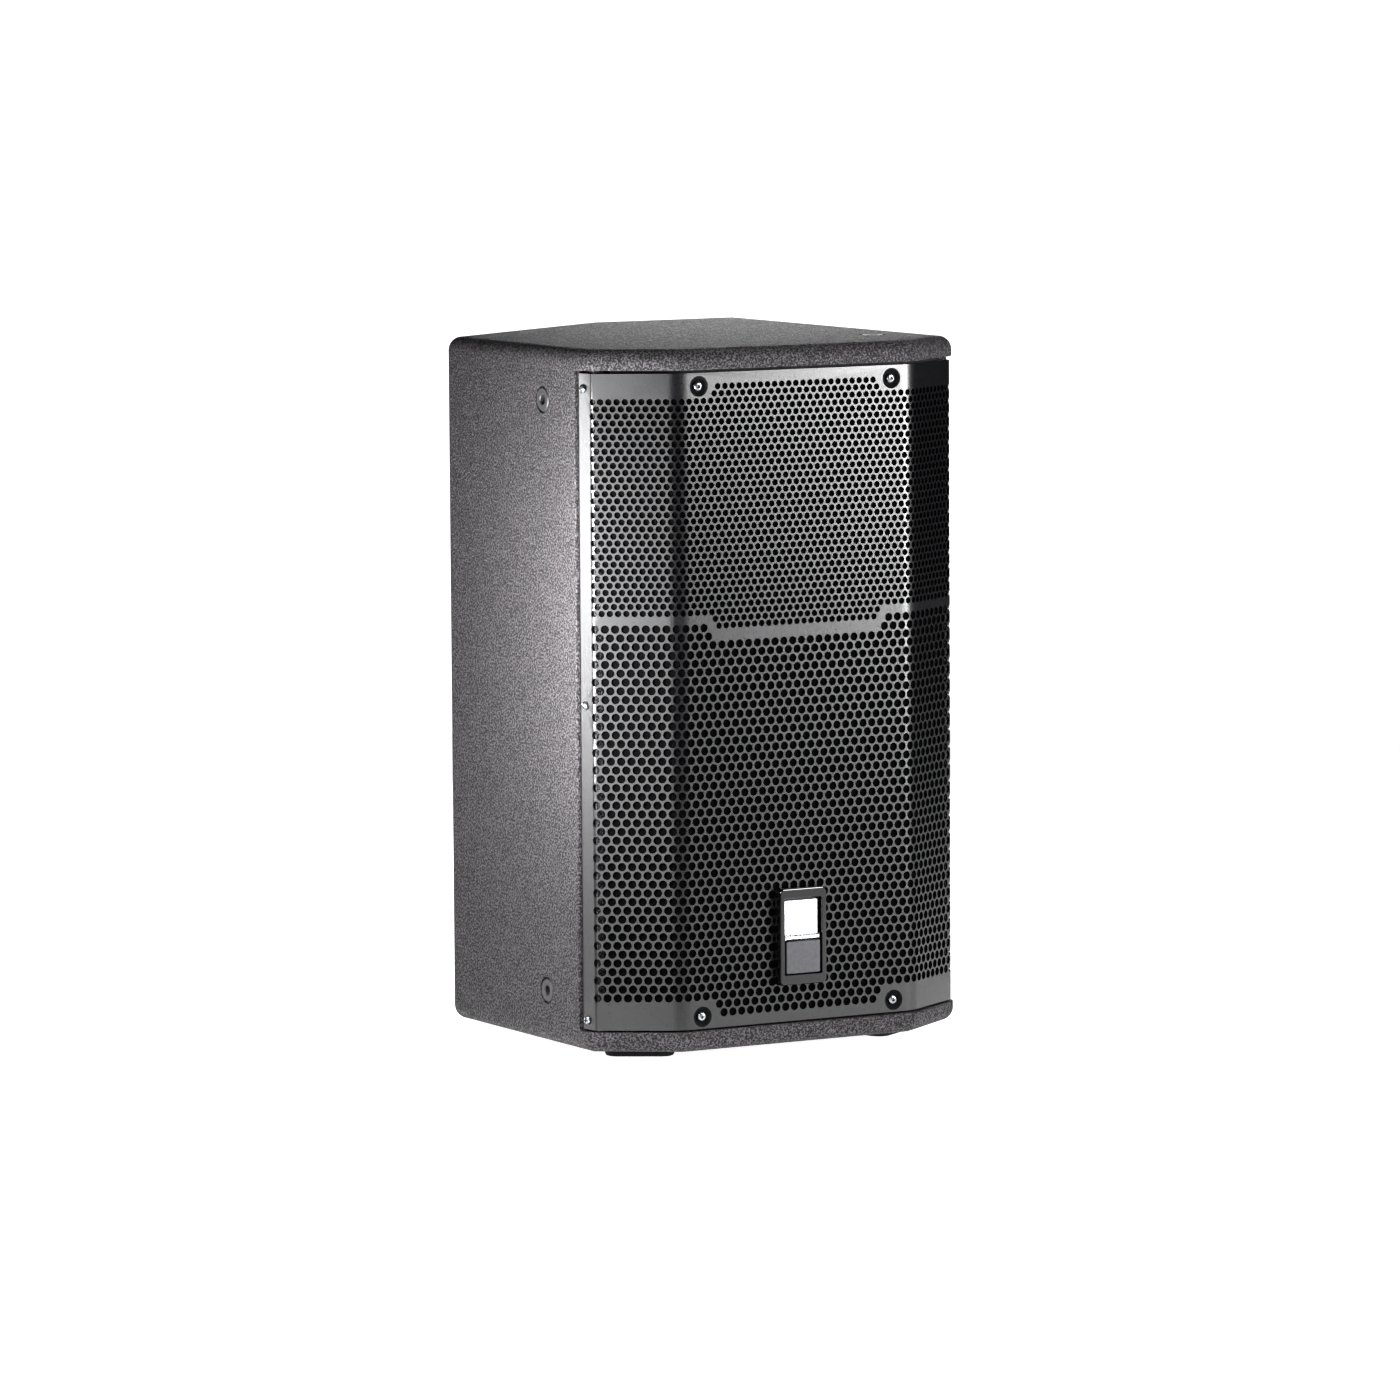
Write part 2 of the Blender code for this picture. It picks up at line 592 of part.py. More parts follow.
def horn(plastic, iron):
    """A horn that goes from a round throat to a rectangular mouth, with its compression driver."""
    at = (0, 0, HORN_Z)
    steps = 5
    flare = []
    for k in range(steps + 1):
        share = k / steps
        curve = share ** 1.6
        width = 2 * HORN_THROAT_R + (HORN_MOUTH[0] - 2 * HORN_THROAT_R) * curve
        height = 2 * HORN_THROAT_R + (HORN_MOUTH[1] - 2 * HORN_THROAT_R) * share ** 1.3
        radius = HORN_THROAT_R + (0.030 - HORN_THROAT_R) * share
        flare.append((width, height, radius, HORN_BACK_Y - (HORN_BACK_Y - FLANGE_Y) * share))
    wall = 0.003
    detail = 5
    rings = [ring(rounded_rect(w, h, r, detail), "Y", y) for w, h, r, y in flare]
    for inset, level in ((0.001, FLANGE_Y), (0.0, FLANGE_Y + 0.001), (0.0, FLANGE_Y + FLANGE_T)):
        outline = rounded_rect(HORN_FLANGE[0] - 2 * inset, HORN_FLANGE[1] - 2 * inset, 0.012, detail)
        rings.append(ring(outline, "Y", level))
    w, h, r, _ = flare[-1]
    rings.append(ring(rounded_rect(w + 2 * wall, h + 2 * wall, r + wall, detail), "Y", FLANGE_Y + FLANGE_T))
    for w, h, r, y in flare[-2:0:-1]:
        rings.append(ring(rounded_rect(w + 2 * wall, h + 2 * wall, r + wall, detail), "Y", y + 0.002))
    for radius, level in ((0.0170, HORN_BACK_Y - 0.006), (0.0400, HORN_BACK_Y - 0.005), (0.0400, HORN_BACK_Y)):
        rings.append(ring(rounded_rect(2 * radius, 2 * radius, radius, detail), "Y", level))
    add("horn", skin(rings, loop=True), plastic, at)

    front = HORN_BACK_Y + GAP
    back = front + DRIVER_LENGTH
    profile = [(HORN_THROAT_R, front + 0.012), (HORN_THROAT_R, front), (0.038, front), (0.038, front + 0.006),
               (DRIVER_R, front + 0.010), (DRIVER_R, front + 0.038), (0.044, front + 0.040), (0.044, back - 0.004),
               (0.040, back)]
    add("compression_driver", turned(profile, count=28), iron, at)


def pan(flange, mouth, floor, depth, wall, axis, face, inward):
    """A moulded tray: flush flange, tapered walls and a closed floor."""
    rings = []
    for size, radius, level in ((floor, 0.008, depth), (mouth, 0.010, 0.0), (flange, 0.012, 0.0),
                                (flange, 0.012, wall), ((mouth[0] + 2 * wall, mouth[1] + 2 * wall), 0.012, wall),
                                ((floor[0] + 2 * wall, floor[1] + 2 * wall), 0.010, depth + wall)):
        rings.append(ring(rounded_rect(*size, radius), axis, face + inward * level))
    return skin(rings)


def pan_cuts(name, panel, flange, mouth, wall, axis, face, inward, centre):
    """The panel's shallow rebate for a tray's flange and the hole that its walls pass through."""
    play = 2 * GAP
    for part, size, depth in (("rebate", flange, wall + GAP), ("hole", [s + 2 * wall for s in mouth], WOOD + 0.01)):
        outline = rounded_rect(size[0] + play, size[1] + play, 0.012)
        levels = sorted((face - inward * 0.01, face + inward * depth))
        shape(panel, add(f"cut_{name}_{part}", prism(outline, *levels, axis), None, centre))


def input_panel(panels, black, plastic, knob, board_green, copper, amber):
    centre = (INPUT_X, 0, INPUT_Z)
    pan_cuts("input", panels["back_panel"], INPUT_FLANGE, INPUT_MOUTH, PANEL_T, "Y", BACK_Y, -1, centre)
    tray = pan(INPUT_FLANGE, INPUT_MOUTH, INPUT_FLOOR, INPUT_DEPTH, PANEL_T, "Y", BACK_Y, -1)
    plate = add("input_plate", tray, black, centre)

    floor = PANEL_FLOOR_Y
    back = floor - CONNECTOR_LENGTH
    socket_r = CONNECTOR_R - 0.002
    pin_r = CONNECTOR_R - 0.007
    profile = [(pin_r, floor), (pin_r, floor - 0.016), (socket_r, floor - 0.016), (socket_r, floor + 0.0023),
               (CONNECTOR_FLANGE_R, floor + 0.0023), (CONNECTOR_FLANGE_R, floor + GAP), (CONNECTOR_R, floor + GAP),
               (CONNECTOR_R, back)]
    for name, x in zip(("input", "output"), CONNECTOR_X):
        at = (INPUT_X + x, 0, INPUT_Z + SOCKET_Z)
        r = CONNECTOR_R + GAP
        shape(plate, add(f"cut_{name}", turned([(r, floor - 0.01), (r, floor + 0.01)], count=16), None, at))
        add(f"{name}_connector", turned(profile, count=16), plastic, at)

    at = Vector((INPUT_X + SWITCH_X, floor, INPUT_Z + SOCKET_Z))
    half_x, half_z = SLIDER[0] / 2, SLIDER[1] / 2
    reach = half_z + SWITCH_TRAVEL / 2
    clear = 0.0004
    window = block((-half_x - clear, -0.008, -reach - clear), (half_x + clear, 0.01, reach + clear))
    window = add("cut_switch", window, None, at)
    shape(plate, window)
    front = -PANEL_T - GAP
    body = block((-0.006, front - 0.011, -reach - 0.006), (0.006, front, reach + 0.006))
    body = add("mode_switch_body", body, plastic, at)
    shape(body, window)
    slider = add("mode_switch_slider", block((-half_x, -0.0076, -half_z), (half_x, 0.0035, half_z)), knob,
                 at - Vector((0, 0, SWITCH_TRAVEL / 2)))
    slider.data.shade_flat()

    board_y = back - GAP
    x, z = BOARD_SIZE[0] / 2, BOARD_SIZE[1] / 2
    add("crossover_board", block((-x, board_y - BOARD_T, -z), (x, board_y, z)), board_green, centre)
    face = board_y - BOARD_T - GAP
    spool = [(0.008, face), (0.022, face), (0.022, face - 0.003), (0.019, face - 0.003), (0.019, face - 0.021),
             (0.022, face - 0.021), (0.022, face - 0.024), (0.008, face - 0.024)]
    add("crossover_inductor", turned(spool, count=20, loop=True), copper, (INPUT_X + 0.022, 0, INPUT_Z + 0.015))
    can = turned([(0.0095, -0.020), (0.0100, -0.019), (0.0100, 0.019), (0.0095, 0.020)], "X", 20)
    add("crossover_capacitor", can, amber, (INPUT_X - 0.026, face - 0.0101, INPUT_Z + 0.024))


def side_handle(panels, plastic):
    """A pocket handle in the right side: a tray and its bar moulded as one piece."""
    centre = (0, HANDLE_Y, HANDLE_Z)
    pan_cuts("handle", panels["right_side_panel"], HANDLE_FLANGE, HANDLE_MOUTH, HANDLE_WALL, "X", HALF, -1, centre)
    tray = pan(HANDLE_FLANGE, HANDLE_MOUTH, HANDLE_FLOOR, HANDLE_DEPTH, HANDLE_WALL, "X", HALF, -1)
    handle = add("side_handle", tray, plastic, centre)
    taper = (HANDLE_MOUTH[0] - HANDLE_FLOOR[0]) / 2 * BAR_DEPTH / HANDLE_DEPTH
    half = HANDLE_MOUTH[0] / 2 - taper + HANDLE_WALL / 2
    bar = add("handle_bar", turned([(BAR_R, -half), (BAR_R, half)], "Y", 20), None,
              (HALF - BAR_DEPTH, HANDLE_Y, HANDLE_Z))
    shape(handle, bar, "UNION")


def pole_socket(panels, steel):
    at = (0, POLE_Y, 0)
    outer = POLE_R + POLE_WALL
    profile = [(POLE_R, POLE_DEPTH), (POLE_R, 0), (POLE_FLANGE_R, 0), (POLE_FLANGE_R, POLE_WALL),
               (outer, POLE_WALL), (outer, POLE_DEPTH + POLE_WALL)]
    add("pole_socket", turned(profile, "Z", 36), steel, at)
    for part, r, top in (("rebate", POLE_FLANGE_R + GAP, POLE_WALL + GAP), ("hole", outer + GAP, WOOD + 0.01)):
        shape(panels["bottom_board"], add(f"cut_pole_{part}", turned([(r, -0.01), (r, top)], "Z", 36), None, at))


def suspension_points(panels, steel):
    """Threaded inserts for eyebolts, each flush in a hole through its panel."""
    places = {}
    for level, z in (("lower", INSERT_FROM_END), ("upper", WOOD_HEIGHT - INSERT_FROM_END)):
        places[f"left_{level}"] = ("left_side_panel", (-HALF, INSERT_Y, z), (1, 0, 0))
        places[f"right_{level}"] = ("right_side_panel", (HALF, INSERT_Y, z), (-1, 0, 0))
    places["top"] = ("top_board", (*TOP_INSERT, WOOD_HEIGHT), (0, 0, -1))
    profile = [(INSERT_HOLE_R, INSERT_HOLE_DEPTH), (INSERT_HOLE_R, 0), (INSERT_R, 0), (INSERT_R, WOOD - GAP)]
    for name, (panel, at, inward) in places.items():
        r = INSERT_R + GAP
        shape(panels[panel], add(f"cut_{name}", turned([(r, -0.01), (r, WOOD + 0.01)], "Z", 24), None, at, inward))
        add(f"suspension_insert_{name}", turned(profile, "Z", 24), steel, at, inward)


def feet(rubber):
    facet = math.atan2(GRILLE_SIDE_Y, HALF - GRILLE_SIDE_INSET - GRILLE_BEND_X)
    x, y = FRONT_FOOT_AT
    cut = math.atan2(BACK_Y - CUT_Y, CUT_X + HALF)
    places = {"front_left": (-x, y, -facet), "front_right": (x, y, facet),
              "rear_left": (-HALF + REAR_LEFT_FOOT_ALONG * math.cos(cut) + REAR_LEFT_FOOT_IN * math.sin(cut),
                            CUT_Y + REAR_LEFT_FOOT_ALONG * math.sin(cut) - REAR_LEFT_FOOT_IN * math.cos(cut), cut),
              "rear_right": (HALF - REAR_RIGHT_FOOT_INSET[0], BACK_Y - REAR_RIGHT_FOOT_INSET[1], 0)}
    width, depth = FOOT_SIZE
    for name, (x, y, turn) in places.items():
        rings = []
        for inset, level in ((0.0, -GAP), (0.0, 0.0025 - FOOT_H), (0.0008, 0.0008 - FOOT_H), (0.0024, -FOOT_H)):
            outline = rounded_rect(width - 2 * inset, depth - 2 * inset, 0.008)
            rings.append(ring(outline, "Z", level))
        foot = add(f"foot_{name}", skin(rings), rubber, (x, y, 0))
        foot.rotation_euler = (0, 0, turn)


def lead(name, knots, radius, material):
    """A fixed internal lead: a tube along a smooth curve through its knots."""
    knots = [Vector(k) for k in knots]
    knots = [knots[0] * 2 - knots[1]] + knots + [knots[-1] * 2 - knots[-2]]
    points = []
    steps = 4
    for a, b, c, d in zip(knots, knots[1:], knots[2:], knots[3:]):
        for k in range(steps):
            t = k / steps
            points.append(0.5 * (2 * b + (c - a) * t + (2 * a - 5 * b + 4 * c - d) * t ** 2
                                 + (3 * b - a - 3 * c + d) * t ** 3))
    points.append(knots[-2])
    curve = bpy.data.curves.new(name, "CURVE")
    curve.dimensions = "3D"
    curve.bevel_depth = radius
    curve.bevel_resolution = 2
    curve.use_fill_caps = True
    spline = curve.splines.new("POLY")
    spline.points.add(len(points) - 1)
    for slot, point in zip(spline.points, points):
        slot.co = (*point, 1)
    curve.materials.append(material)
    thing = bpy.data.objects.new(name, curve)
    bpy.context.collection.objects.link(thing)
    thing.parent = CABINET


def leads(red, black):
    """From the crossover board to the woofer's basket and to the back of the driver."""
    start = PANEL_FLOOR_Y - CONNECTOR_LENGTH - BOARD_T - GAP - LEAD_GAP
    turn = math.radians(-20)
    out = Vector((math.cos(turn), 0, math.sin(turn)))
    foot = Vector((0, 0.112, WOOFER_Z))
    base = Vector((INPUT_X, start, INPUT_Z))
    lead("woofer_lead", [base + Vector((-0.021, 0, -0.010)), base + Vector((-0.021, -0.022, -0.010)),
                         base + Vector((-0.011, -0.082, -0.020)), base + Vector((-0.006, -0.162, -0.015)),
                         foot + out * 0.105 + Vector((0, 0.018, 0)), foot + out * 0.092, foot + out * 0.0802],
         0.0025, red)
    end = Vector((0.020, HORN_BACK_Y + GAP + DRIVER_LENGTH + LEAD_GAP, HORN_Z - 0.014))
    window = Vector((0.035, 0.265, WOOFER_Z + WOOFER_R + BRACE_ABOVE_WOOFER))
    lead("driver_lead", [base + Vector((0.014, 0, -0.032)), base + Vector((0.014, -0.030, -0.032)),
                         base + Vector((-0.006, -0.062, 0.050)), window + Vector((0.015, 0.005, -0.050)), window,
                         window + Vector((-0.008, 0, 0.040)), end + Vector((0, 0.020, -0.002)),
                         end + Vector((0, 0.007, -0.0007)), end],
         0.0022, black)


for old in list(bpy.data.objects):
    bpy.data.objects.remove(old)

CABINET = bpy.data.objects.new("cabinet", None)
CABINET.location = (0, -(BACK_Y - BADGE_PROUD) / 2, FOOT_H)
bpy.context.collection.objects.link(CABINET)

wood_paint = finish("charcoal textured paint", (0.035, 0.034, 0.036), 0.75)
baffle_black = finish("black stained plywood", (0.020, 0.020, 0.020), 0.8)
raw_plywood = finish("birch plywood", (0.45, 0.33, 0.20), 0.7)
grille_black = finish("black powder coat", (0.020, 0.020, 0.022), 0.38, 0.2)
open_foam = finish("black open-cell foam", (0.008, 0.008, 0.008), 0.95)
black_steel = finish("black oxide steel", (0.030, 0.030, 0.032), 0.35, 0.9)
zinc_steel = finish("zinc plated steel", (0.55, 0.56, 0.57), 0.35, 1.0)
gloss_black = finish("gloss black ABS", (0.008, 0.008, 0.009), 0.15)
satin_silver = finish("satin silver", (0.75, 0.76, 0.78), 0.25, 1.0)
dark_grey = finish("dark grey ABS", (0.050, 0.050, 0.055), 0.4)
cast_frame = finish("black die-cast aluminium", (0.025, 0.025, 0.027), 0.5, 0.6)
cone_paper = finish("black treated paper", (0.015, 0.015, 0.015), 0.85)
surround_rubber = finish("treated cloth roll", (0.010, 0.010, 0.010), 0.6)
spider_cloth = finish("phenolic cloth", (0.40, 0.25, 0.10), 0.8)
ferrite_black = finish("ferrite", (0.030, 0.030, 0.030), 0.6)
coil_copper = finish("copper winding", (0.70, 0.33, 0.18), 0.35, 1.0)
moulded_black = finish("moulded black plastic", (0.015, 0.015, 0.016), 0.5)
foot_rubber = finish("black rubber", (0.012, 0.012, 0.012), 0.8)
board_green = finish("green circuit board", (0.03, 0.12, 0.05), 0.5)
amber_film = finish("amber film", (0.55, 0.30, 0.05), 0.4)
red_wire = finish("red wire", (0.50, 0.03, 0.03), 0.5)
white_knob = finish("white slider", (0.80, 0.80, 0.78), 0.4)

PANELS = cabinet_panels(wood_paint)
grille_group(PANELS, grille_black, open_foam, baffle_black, black_steel)
badge(gloss_black, satin_silver, dark_grey)
baffle_group(baffle_black)
ports(moulded_black)
woofer(cast_frame, cone_paper, surround_rubber, spider_cloth, zinc_steel, ferrite_black, coil_copper)
horn(moulded_black, cast_frame)
input_panel(PANELS, moulded_black, moulded_black, white_knob, board_green, coil_copper, amber_film)
side_handle(PANELS, moulded_black)
pole_socket(PANELS, black_steel)
suspension_points(PANELS, black_steel)
feet(foot_rubber)
leads(red_wire, moulded_black)
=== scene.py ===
"""Looks of a two-way PA speaker cabinet: speckled paint, a bent perforated grille, its badge and the hardware.

Every size is in metres. A piece is laid out in the cabinet's own frame, with X across, Y back from the
grille's face and Z up from the underside of the wood; placed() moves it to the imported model's frame.
"""

import math

import bmesh
import bpy
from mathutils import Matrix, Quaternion, Vector
from mathutils.geometry import delaunay_2d_cdt
from mathutils.kdtree import KDTree


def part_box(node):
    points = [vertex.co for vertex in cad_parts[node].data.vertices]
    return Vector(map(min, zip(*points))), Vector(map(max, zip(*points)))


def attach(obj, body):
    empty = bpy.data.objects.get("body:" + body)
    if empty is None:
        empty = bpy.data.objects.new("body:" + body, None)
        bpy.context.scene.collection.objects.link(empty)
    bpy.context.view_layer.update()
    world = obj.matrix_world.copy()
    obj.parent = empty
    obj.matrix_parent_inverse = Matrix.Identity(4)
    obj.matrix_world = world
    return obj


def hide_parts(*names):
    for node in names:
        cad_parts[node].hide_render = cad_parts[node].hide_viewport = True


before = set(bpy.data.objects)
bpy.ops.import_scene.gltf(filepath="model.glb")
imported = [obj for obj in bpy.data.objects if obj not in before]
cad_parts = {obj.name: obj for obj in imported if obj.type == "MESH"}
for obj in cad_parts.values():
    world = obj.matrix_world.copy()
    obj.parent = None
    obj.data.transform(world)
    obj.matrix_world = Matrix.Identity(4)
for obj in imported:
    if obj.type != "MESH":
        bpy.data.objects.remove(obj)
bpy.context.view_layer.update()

# Camera. A long lens at the front left, a little above the cabinet's top, rolled a third of a degree. The
# view keeps colours plain and its contrast firm.
SIGHT = Vector((0.49225, 0.86416, -0.10450))
ROLL = math.radians(-0.355)
LENS = 195.67
STAND = (-3.3035, -5.8364)
RISE = 0.98494
camera = bpy.data.objects.new("camera", bpy.data.cameras.new("camera"))
camera.data.lens = LENS
camera.location = (*STAND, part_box("bottom_board")[0].z + RISE)
camera.rotation_mode = "QUATERNION"
camera.rotation_quaternion = SIGHT.to_track_quat("-Z", "Y") @ Quaternion((0, 0, 1), ROLL)
bpy.context.collection.objects.link(camera)
bpy.context.scene.camera = camera
bpy.context.scene.view_settings.view_transform = "Standard"
bpy.context.scene.view_settings.look = "High Contrast"

# Studio. A white background, a dim grey room and seven soft boxes: two keys at the front right, a fill at
# the front left, a rim light behind the left side, a small one by the left wall, one overhead, one behind.
BACKGROUND = "#ffffff"
ROOM = "#242426"
SOFT_BOXES = {  # name: centre, point it faces, width, height, watts
    "key": ((0.52, -1.00, 0.78), (0.0, -0.20, 0.45), 0.50, 0.36, 11.0),
    "low_key": ((1.34, -1.61, 0.40), (0.0, -0.12, 0.40), 0.50, 0.36, 24.0),
    "fill": ((-0.90, -1.10, 0.28), (-0.15, -0.18, 0.28), 0.35, 0.60, 5.0),
    "rim": ((-1.60, 1.08, 0.30), (0.0, -0.12, 0.30), 0.24, 0.36, 12.0),
    "wall": ((-0.38, -0.25, 0.39), (-0.186, -0.10, 0.39), 0.10, 0.30, 6.0),
    "overhead": ((0.10, -0.15, 1.90), (0.10, -0.15, 0.0), 1.20, 1.20, 9.0),
    "back": ((1.00, 1.61, 0.80), (0.0, -0.12, 0.80), 0.50, 1.00, 12.0),
}


def to_linear(code):
    """A hex colour in sRGB as the linear RGBA that shaders use."""
    values = [int(code[i:i + 2], 16) / 255 for i in (1, 3, 5)]
    return (*[v / 12.92 if v <= 0.04045 else ((v + 0.055) / 1.055) ** 2.4 for v in values], 1.0)


def node(tree, kind, inputs=(), **settings):
    """Adds a shader node; each input is a constant or the socket that feeds it."""
    made = tree.nodes.new(kind)
    for name, value in settings.items():
        setattr(made, name, value)
    for name, value in dict(inputs).items():
        if isinstance(value, bpy.types.NodeSocket):
            tree.links.new(value, made.inputs[name])
        else:
            made.inputs[name].default_value = value
    return made


world = bpy.data.worlds.new("studio")
world.use_nodes = True
bpy.context.scene.world = world
room = world.node_tree
room.nodes.clear()
seen = node(room, "ShaderNodeBackground", {"Color": to_linear(BACKGROUND)})
unseen = node(room, "ShaderNodeBackground", {"Color": to_linear(ROOM)})
ray = node(room, "ShaderNodeLightPath")
mixed = node(room, "ShaderNodeMixShader",
             {0: ray.outputs["Is Camera Ray"], 1: unseen.outputs[0], 2: seen.outputs[0]})
node(room, "ShaderNodeOutputWorld", {"Surface": mixed.outputs[0]})

for name, (centre, target, width, height, watts) in SOFT_BOXES.items():
    light = bpy.data.lights.new(name, "AREA")
    light.shape = "RECTANGLE"
    light.size, light.size_y, light.energy = width, height, watts
    lamp = bpy.data.objects.new(name, light)
    lamp.location = centre
    lamp.rotation_euler = (Vector(target) - Vector(centre)).to_track_quat("-Z", "Y").to_euler()
    lamp.visible_camera = False
    bpy.context.collection.objects.link(lamp)

# Floor. A round board of matt white laminate; its glow keeps it white under the cabinet.
FLOOR_R = 2.4
FLOOR_THICK = 0.01
FLOOR_SIDES = 96
FLOOR_WHITE = ("#f2f2f2", "#f8f8f8")
FLOOR_GLOW = 0.68


def finish(name, colours, rough, grain, relief=0.0, metal=0.0, ior=1.5, glow=0.0, stretch=(1, 1, 1),
           kind="ShaderNodeTexNoise"):
    """A procedural finish: one pattern of the given grain moves the colour, the roughness and the relief."""
    made = bpy.data.materials.new(name)
    made.use_nodes = True
    tree = made.node_tree
    tree.nodes.clear()
    place = node(tree, "ShaderNodeTexCoord")
    scaled = node(tree, "ShaderNodeMapping", {"Vector": place.outputs["Object"], "Scale": stretch})
    pattern = node(tree, kind, {"Vector": scaled.outputs[0], "Scale": 1 / grain})
    share = node(tree, "ShaderNodeMapRange", {"Value": pattern.outputs[0], "From Min": 0.3, "From Max": 0.7})
    gloss = node(tree, "ShaderNodeMapRange",
                 {"Value": share.outputs[0], "To Min": rough[0], "To Max": rough[1]})
    tint = node(tree, "ShaderNodeMix", {0: share.outputs[0], 6: to_linear(colours[0]),
                                        7: to_linear(colours[1])}, data_type="RGBA")
    height = node(tree, "ShaderNodeBump", {"Height": share.outputs[0], "Distance": relief})
    shader = node(tree, "ShaderNodeBsdfPrincipled",
                  {"Base Color": tint.outputs[2], "Roughness": gloss.outputs[0], "Metallic": metal, "IOR": ior,
                   "Normal": height.outputs[0], "Emission Color": tint.outputs[2], "Emission Strength": glow})
    node(tree, "ShaderNodeOutputMaterial", {"Surface": shader.outputs[0]})
    return made


def closed(points, faces):
    """A mesh whose faces all look outwards."""
    data = bpy.data.meshes.new("shape")
    data.from_pydata(points, [], faces)
    mesh = bmesh.new()
    mesh.from_mesh(data)
    bmesh.ops.recalc_face_normals(mesh, faces=mesh.faces)
    mesh.to_mesh(data)
    mesh.free()
    return data


def piece(name, data, material, sharp=40):
    """An object, smooth but for its sharp edges."""
    data.name = name
    data.materials.clear()
    data.materials.append(material)
    data.shade_smooth()
    data.set_sharp_from_angle(angle=math.radians(sharp))
    thing = bpy.data.objects.new(name, data)
    bpy.context.collection.objects.link(thing)
    return thing


def circle(radius, count):
    """Points round a circle about the origin."""
    return [Vector((radius * math.cos(2 * math.pi * k / count), radius * math.sin(2 * math.pi * k / count)))
            for k in range(count)]


laminate = finish("matt white laminate", FLOOR_WHITE, (0.85, 0.9), 0.30, glow=FLOOR_GLOW)
rim = [Vector((p.x, p.y, level)) for level in (-FLOOR_THICK, 0.0) for p in circle(FLOOR_R, FLOOR_SIDES)]
sides = [(i, (i + 1) % FLOOR_SIDES, FLOOR_SIDES + (i + 1) % FLOOR_SIDES, FLOOR_SIDES + i)
         for i in range(FLOOR_SIDES)]
faces = [tuple(range(FLOOR_SIDES)), tuple(range(FLOOR_SIDES, 2 * FLOOR_SIDES))]
floor = piece("floor", closed(rim, sides + faces), laminate)

# Cabinet. Birch plywood boards, glued, filled and sprayed as one: a base coat and a spatter coat of charcoal
# paint, so no joint shows. The boards' plan has a cut rear left corner, and the front lips of the top and
# bottom boards follow the grille's three facets.
HALF = 0.1855
WOOD_HEIGHT = 0.605
BACK_Y = 0.4223
WOOD = 0.018
CORNER_R = 0.0125
EDGE_R = 0.012
LIP_X = 0.116
LIP_Y = -0.004
LIP_CORNER_Y = 0.0438
LIP_BEND_R = 0.029
SIDE_FRONT_Y = 0.0575
CUT_X = 0.027
CUT_Y = 0.2906
REBATE = 0.0095
BAFFLE_Y = 0.040
ARRIS = 0.0012
ARC_STEPS = 8
ORIGIN = Vector((0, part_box("grille")[0].y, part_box("bottom_board")[0].z))
PAINT = ("#080708", "#474447")
DROPS = 0.0017
DRIFT = 0.009
BASE_COAT = 0.0007
HANDLE_AT = (HALF, 0.250, 0.430)
INPUT_AT = (0.106, BACK_Y, 0.150)
POLE_AT = (0, 0.215, 0)
TOP_INSERT_AT = (0.134, 0.095, WOOD_HEIGHT)
INSERT_Y = 0.115
INSERT_LEVELS = {"lower": 0.046, "upper": WOOD_HEIGHT - 0.046}
INSERT_HOLE_R = 0.0118
POCKET_CORNER_R = 0.012
CUT_DEEP = 0.028
CUT_PAST = 0.01


def placed(x, y, z):
    """A point of the cabinet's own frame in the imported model's frame."""
    return ORIGIN + Vector((x, y, z))


def fillet(points, radii, steps=ARC_STEPS):
    """A closed outline whose corners are replaced by arcs that touch both sides."""
    out = []
    for i, point in enumerate(points):
        here = Vector(point)
        if radii[i] <= 0:
            out.append(here)
            continue
        back = (Vector(points[i - 1]) - here).normalized()
        ahead = (Vector(points[(i + 1) % len(points)]) - here).normalized()
        half = back.angle(ahead) / 2
        centre = here + (back + ahead).normalized() * radii[i] / math.sin(half)
        start = here + back * radii[i] / math.tan(half) - centre
        sweep = start.angle_signed(here + ahead * radii[i] / math.tan(half) - centre)
        for k in range(steps + 1):
            c, s = math.cos(-sweep * k / steps), math.sin(-sweep * k / steps)
            out.append(centre + Vector((start.x * c - start.y * s, start.x * s + start.y * c)))
    return out


def offset(points, distance):
    """A closed outline moved sideways, to the left of its direction."""
    out = []
    for i, point in enumerate(points):
        before = (Vector(point) - Vector(points[i - 1])).normalized()
        after = (Vector(points[(i + 1) % len(points)]) - Vector(point)).normalized()
        left = [Vector((-run.y, run.x)) for run in (before, after)]
        mitre = (left[0] + left[1]).normalized()
        out.append(Vector(point) + mitre * distance / mitre.dot(left[0]))
    return out


def rounded_rect(width, height, radius):
    """A rectangle about the origin with rounded corners."""
    x, y = width / 2, height / 2
    return fillet([(x, -y), (x, y), (-x, y), (-x, -y)], [radius] * 4)


def skin(rings):
    """A closed mesh through rings of equally many points, capped at both ends."""
    count, last = len(rings[0]), len(rings) - 1
    faces = [(k * count + i, k * count + (i + 1) % count,
              (k + 1) * count + (i + 1) % count, (k + 1) * count + i) for k in range(last) for i in range(count)]
    faces += [tuple(range(count)), tuple(range(last * count, (last + 1) * count))]
    return closed([p for row in rings for p in row], faces)


def upright(outline, axis, levels, centre):
    """A prism of an outline along an axis, about a centre in the cabinet's frame."""
    order = {"X": lambda p, t: (t, p.x, p.y), "Y": lambda p, t: (p.x, t, p.y), "Z": lambda p, t: (p.x, p.y, t)}
    return skin([[placed(*centre) + Vector(order[axis](p, t)) for p in outline] for t in levels])


def carve(data, cutters):
    """A mesh with other closed meshes cut out of it."""
    thing = bpy.data.objects.new("carved", data)
    tools = [bpy.data.objects.new("cutter", cutter) for cutter in cutters]
    for tool in [thing] + tools:
        bpy.context.collection.objects.link(tool)
    for tool in tools:
        modifier = thing.modifiers.new("cut", "BOOLEAN")
        modifier.solver = "EXACT"
        modifier.object = tool
    view = bpy.context.evaluated_depsgraph_get()
    out = bpy.data.meshes.new_from_object(thing.evaluated_get(view))
    for tool in [thing] + tools:
        bpy.data.objects.remove(tool)
    return out


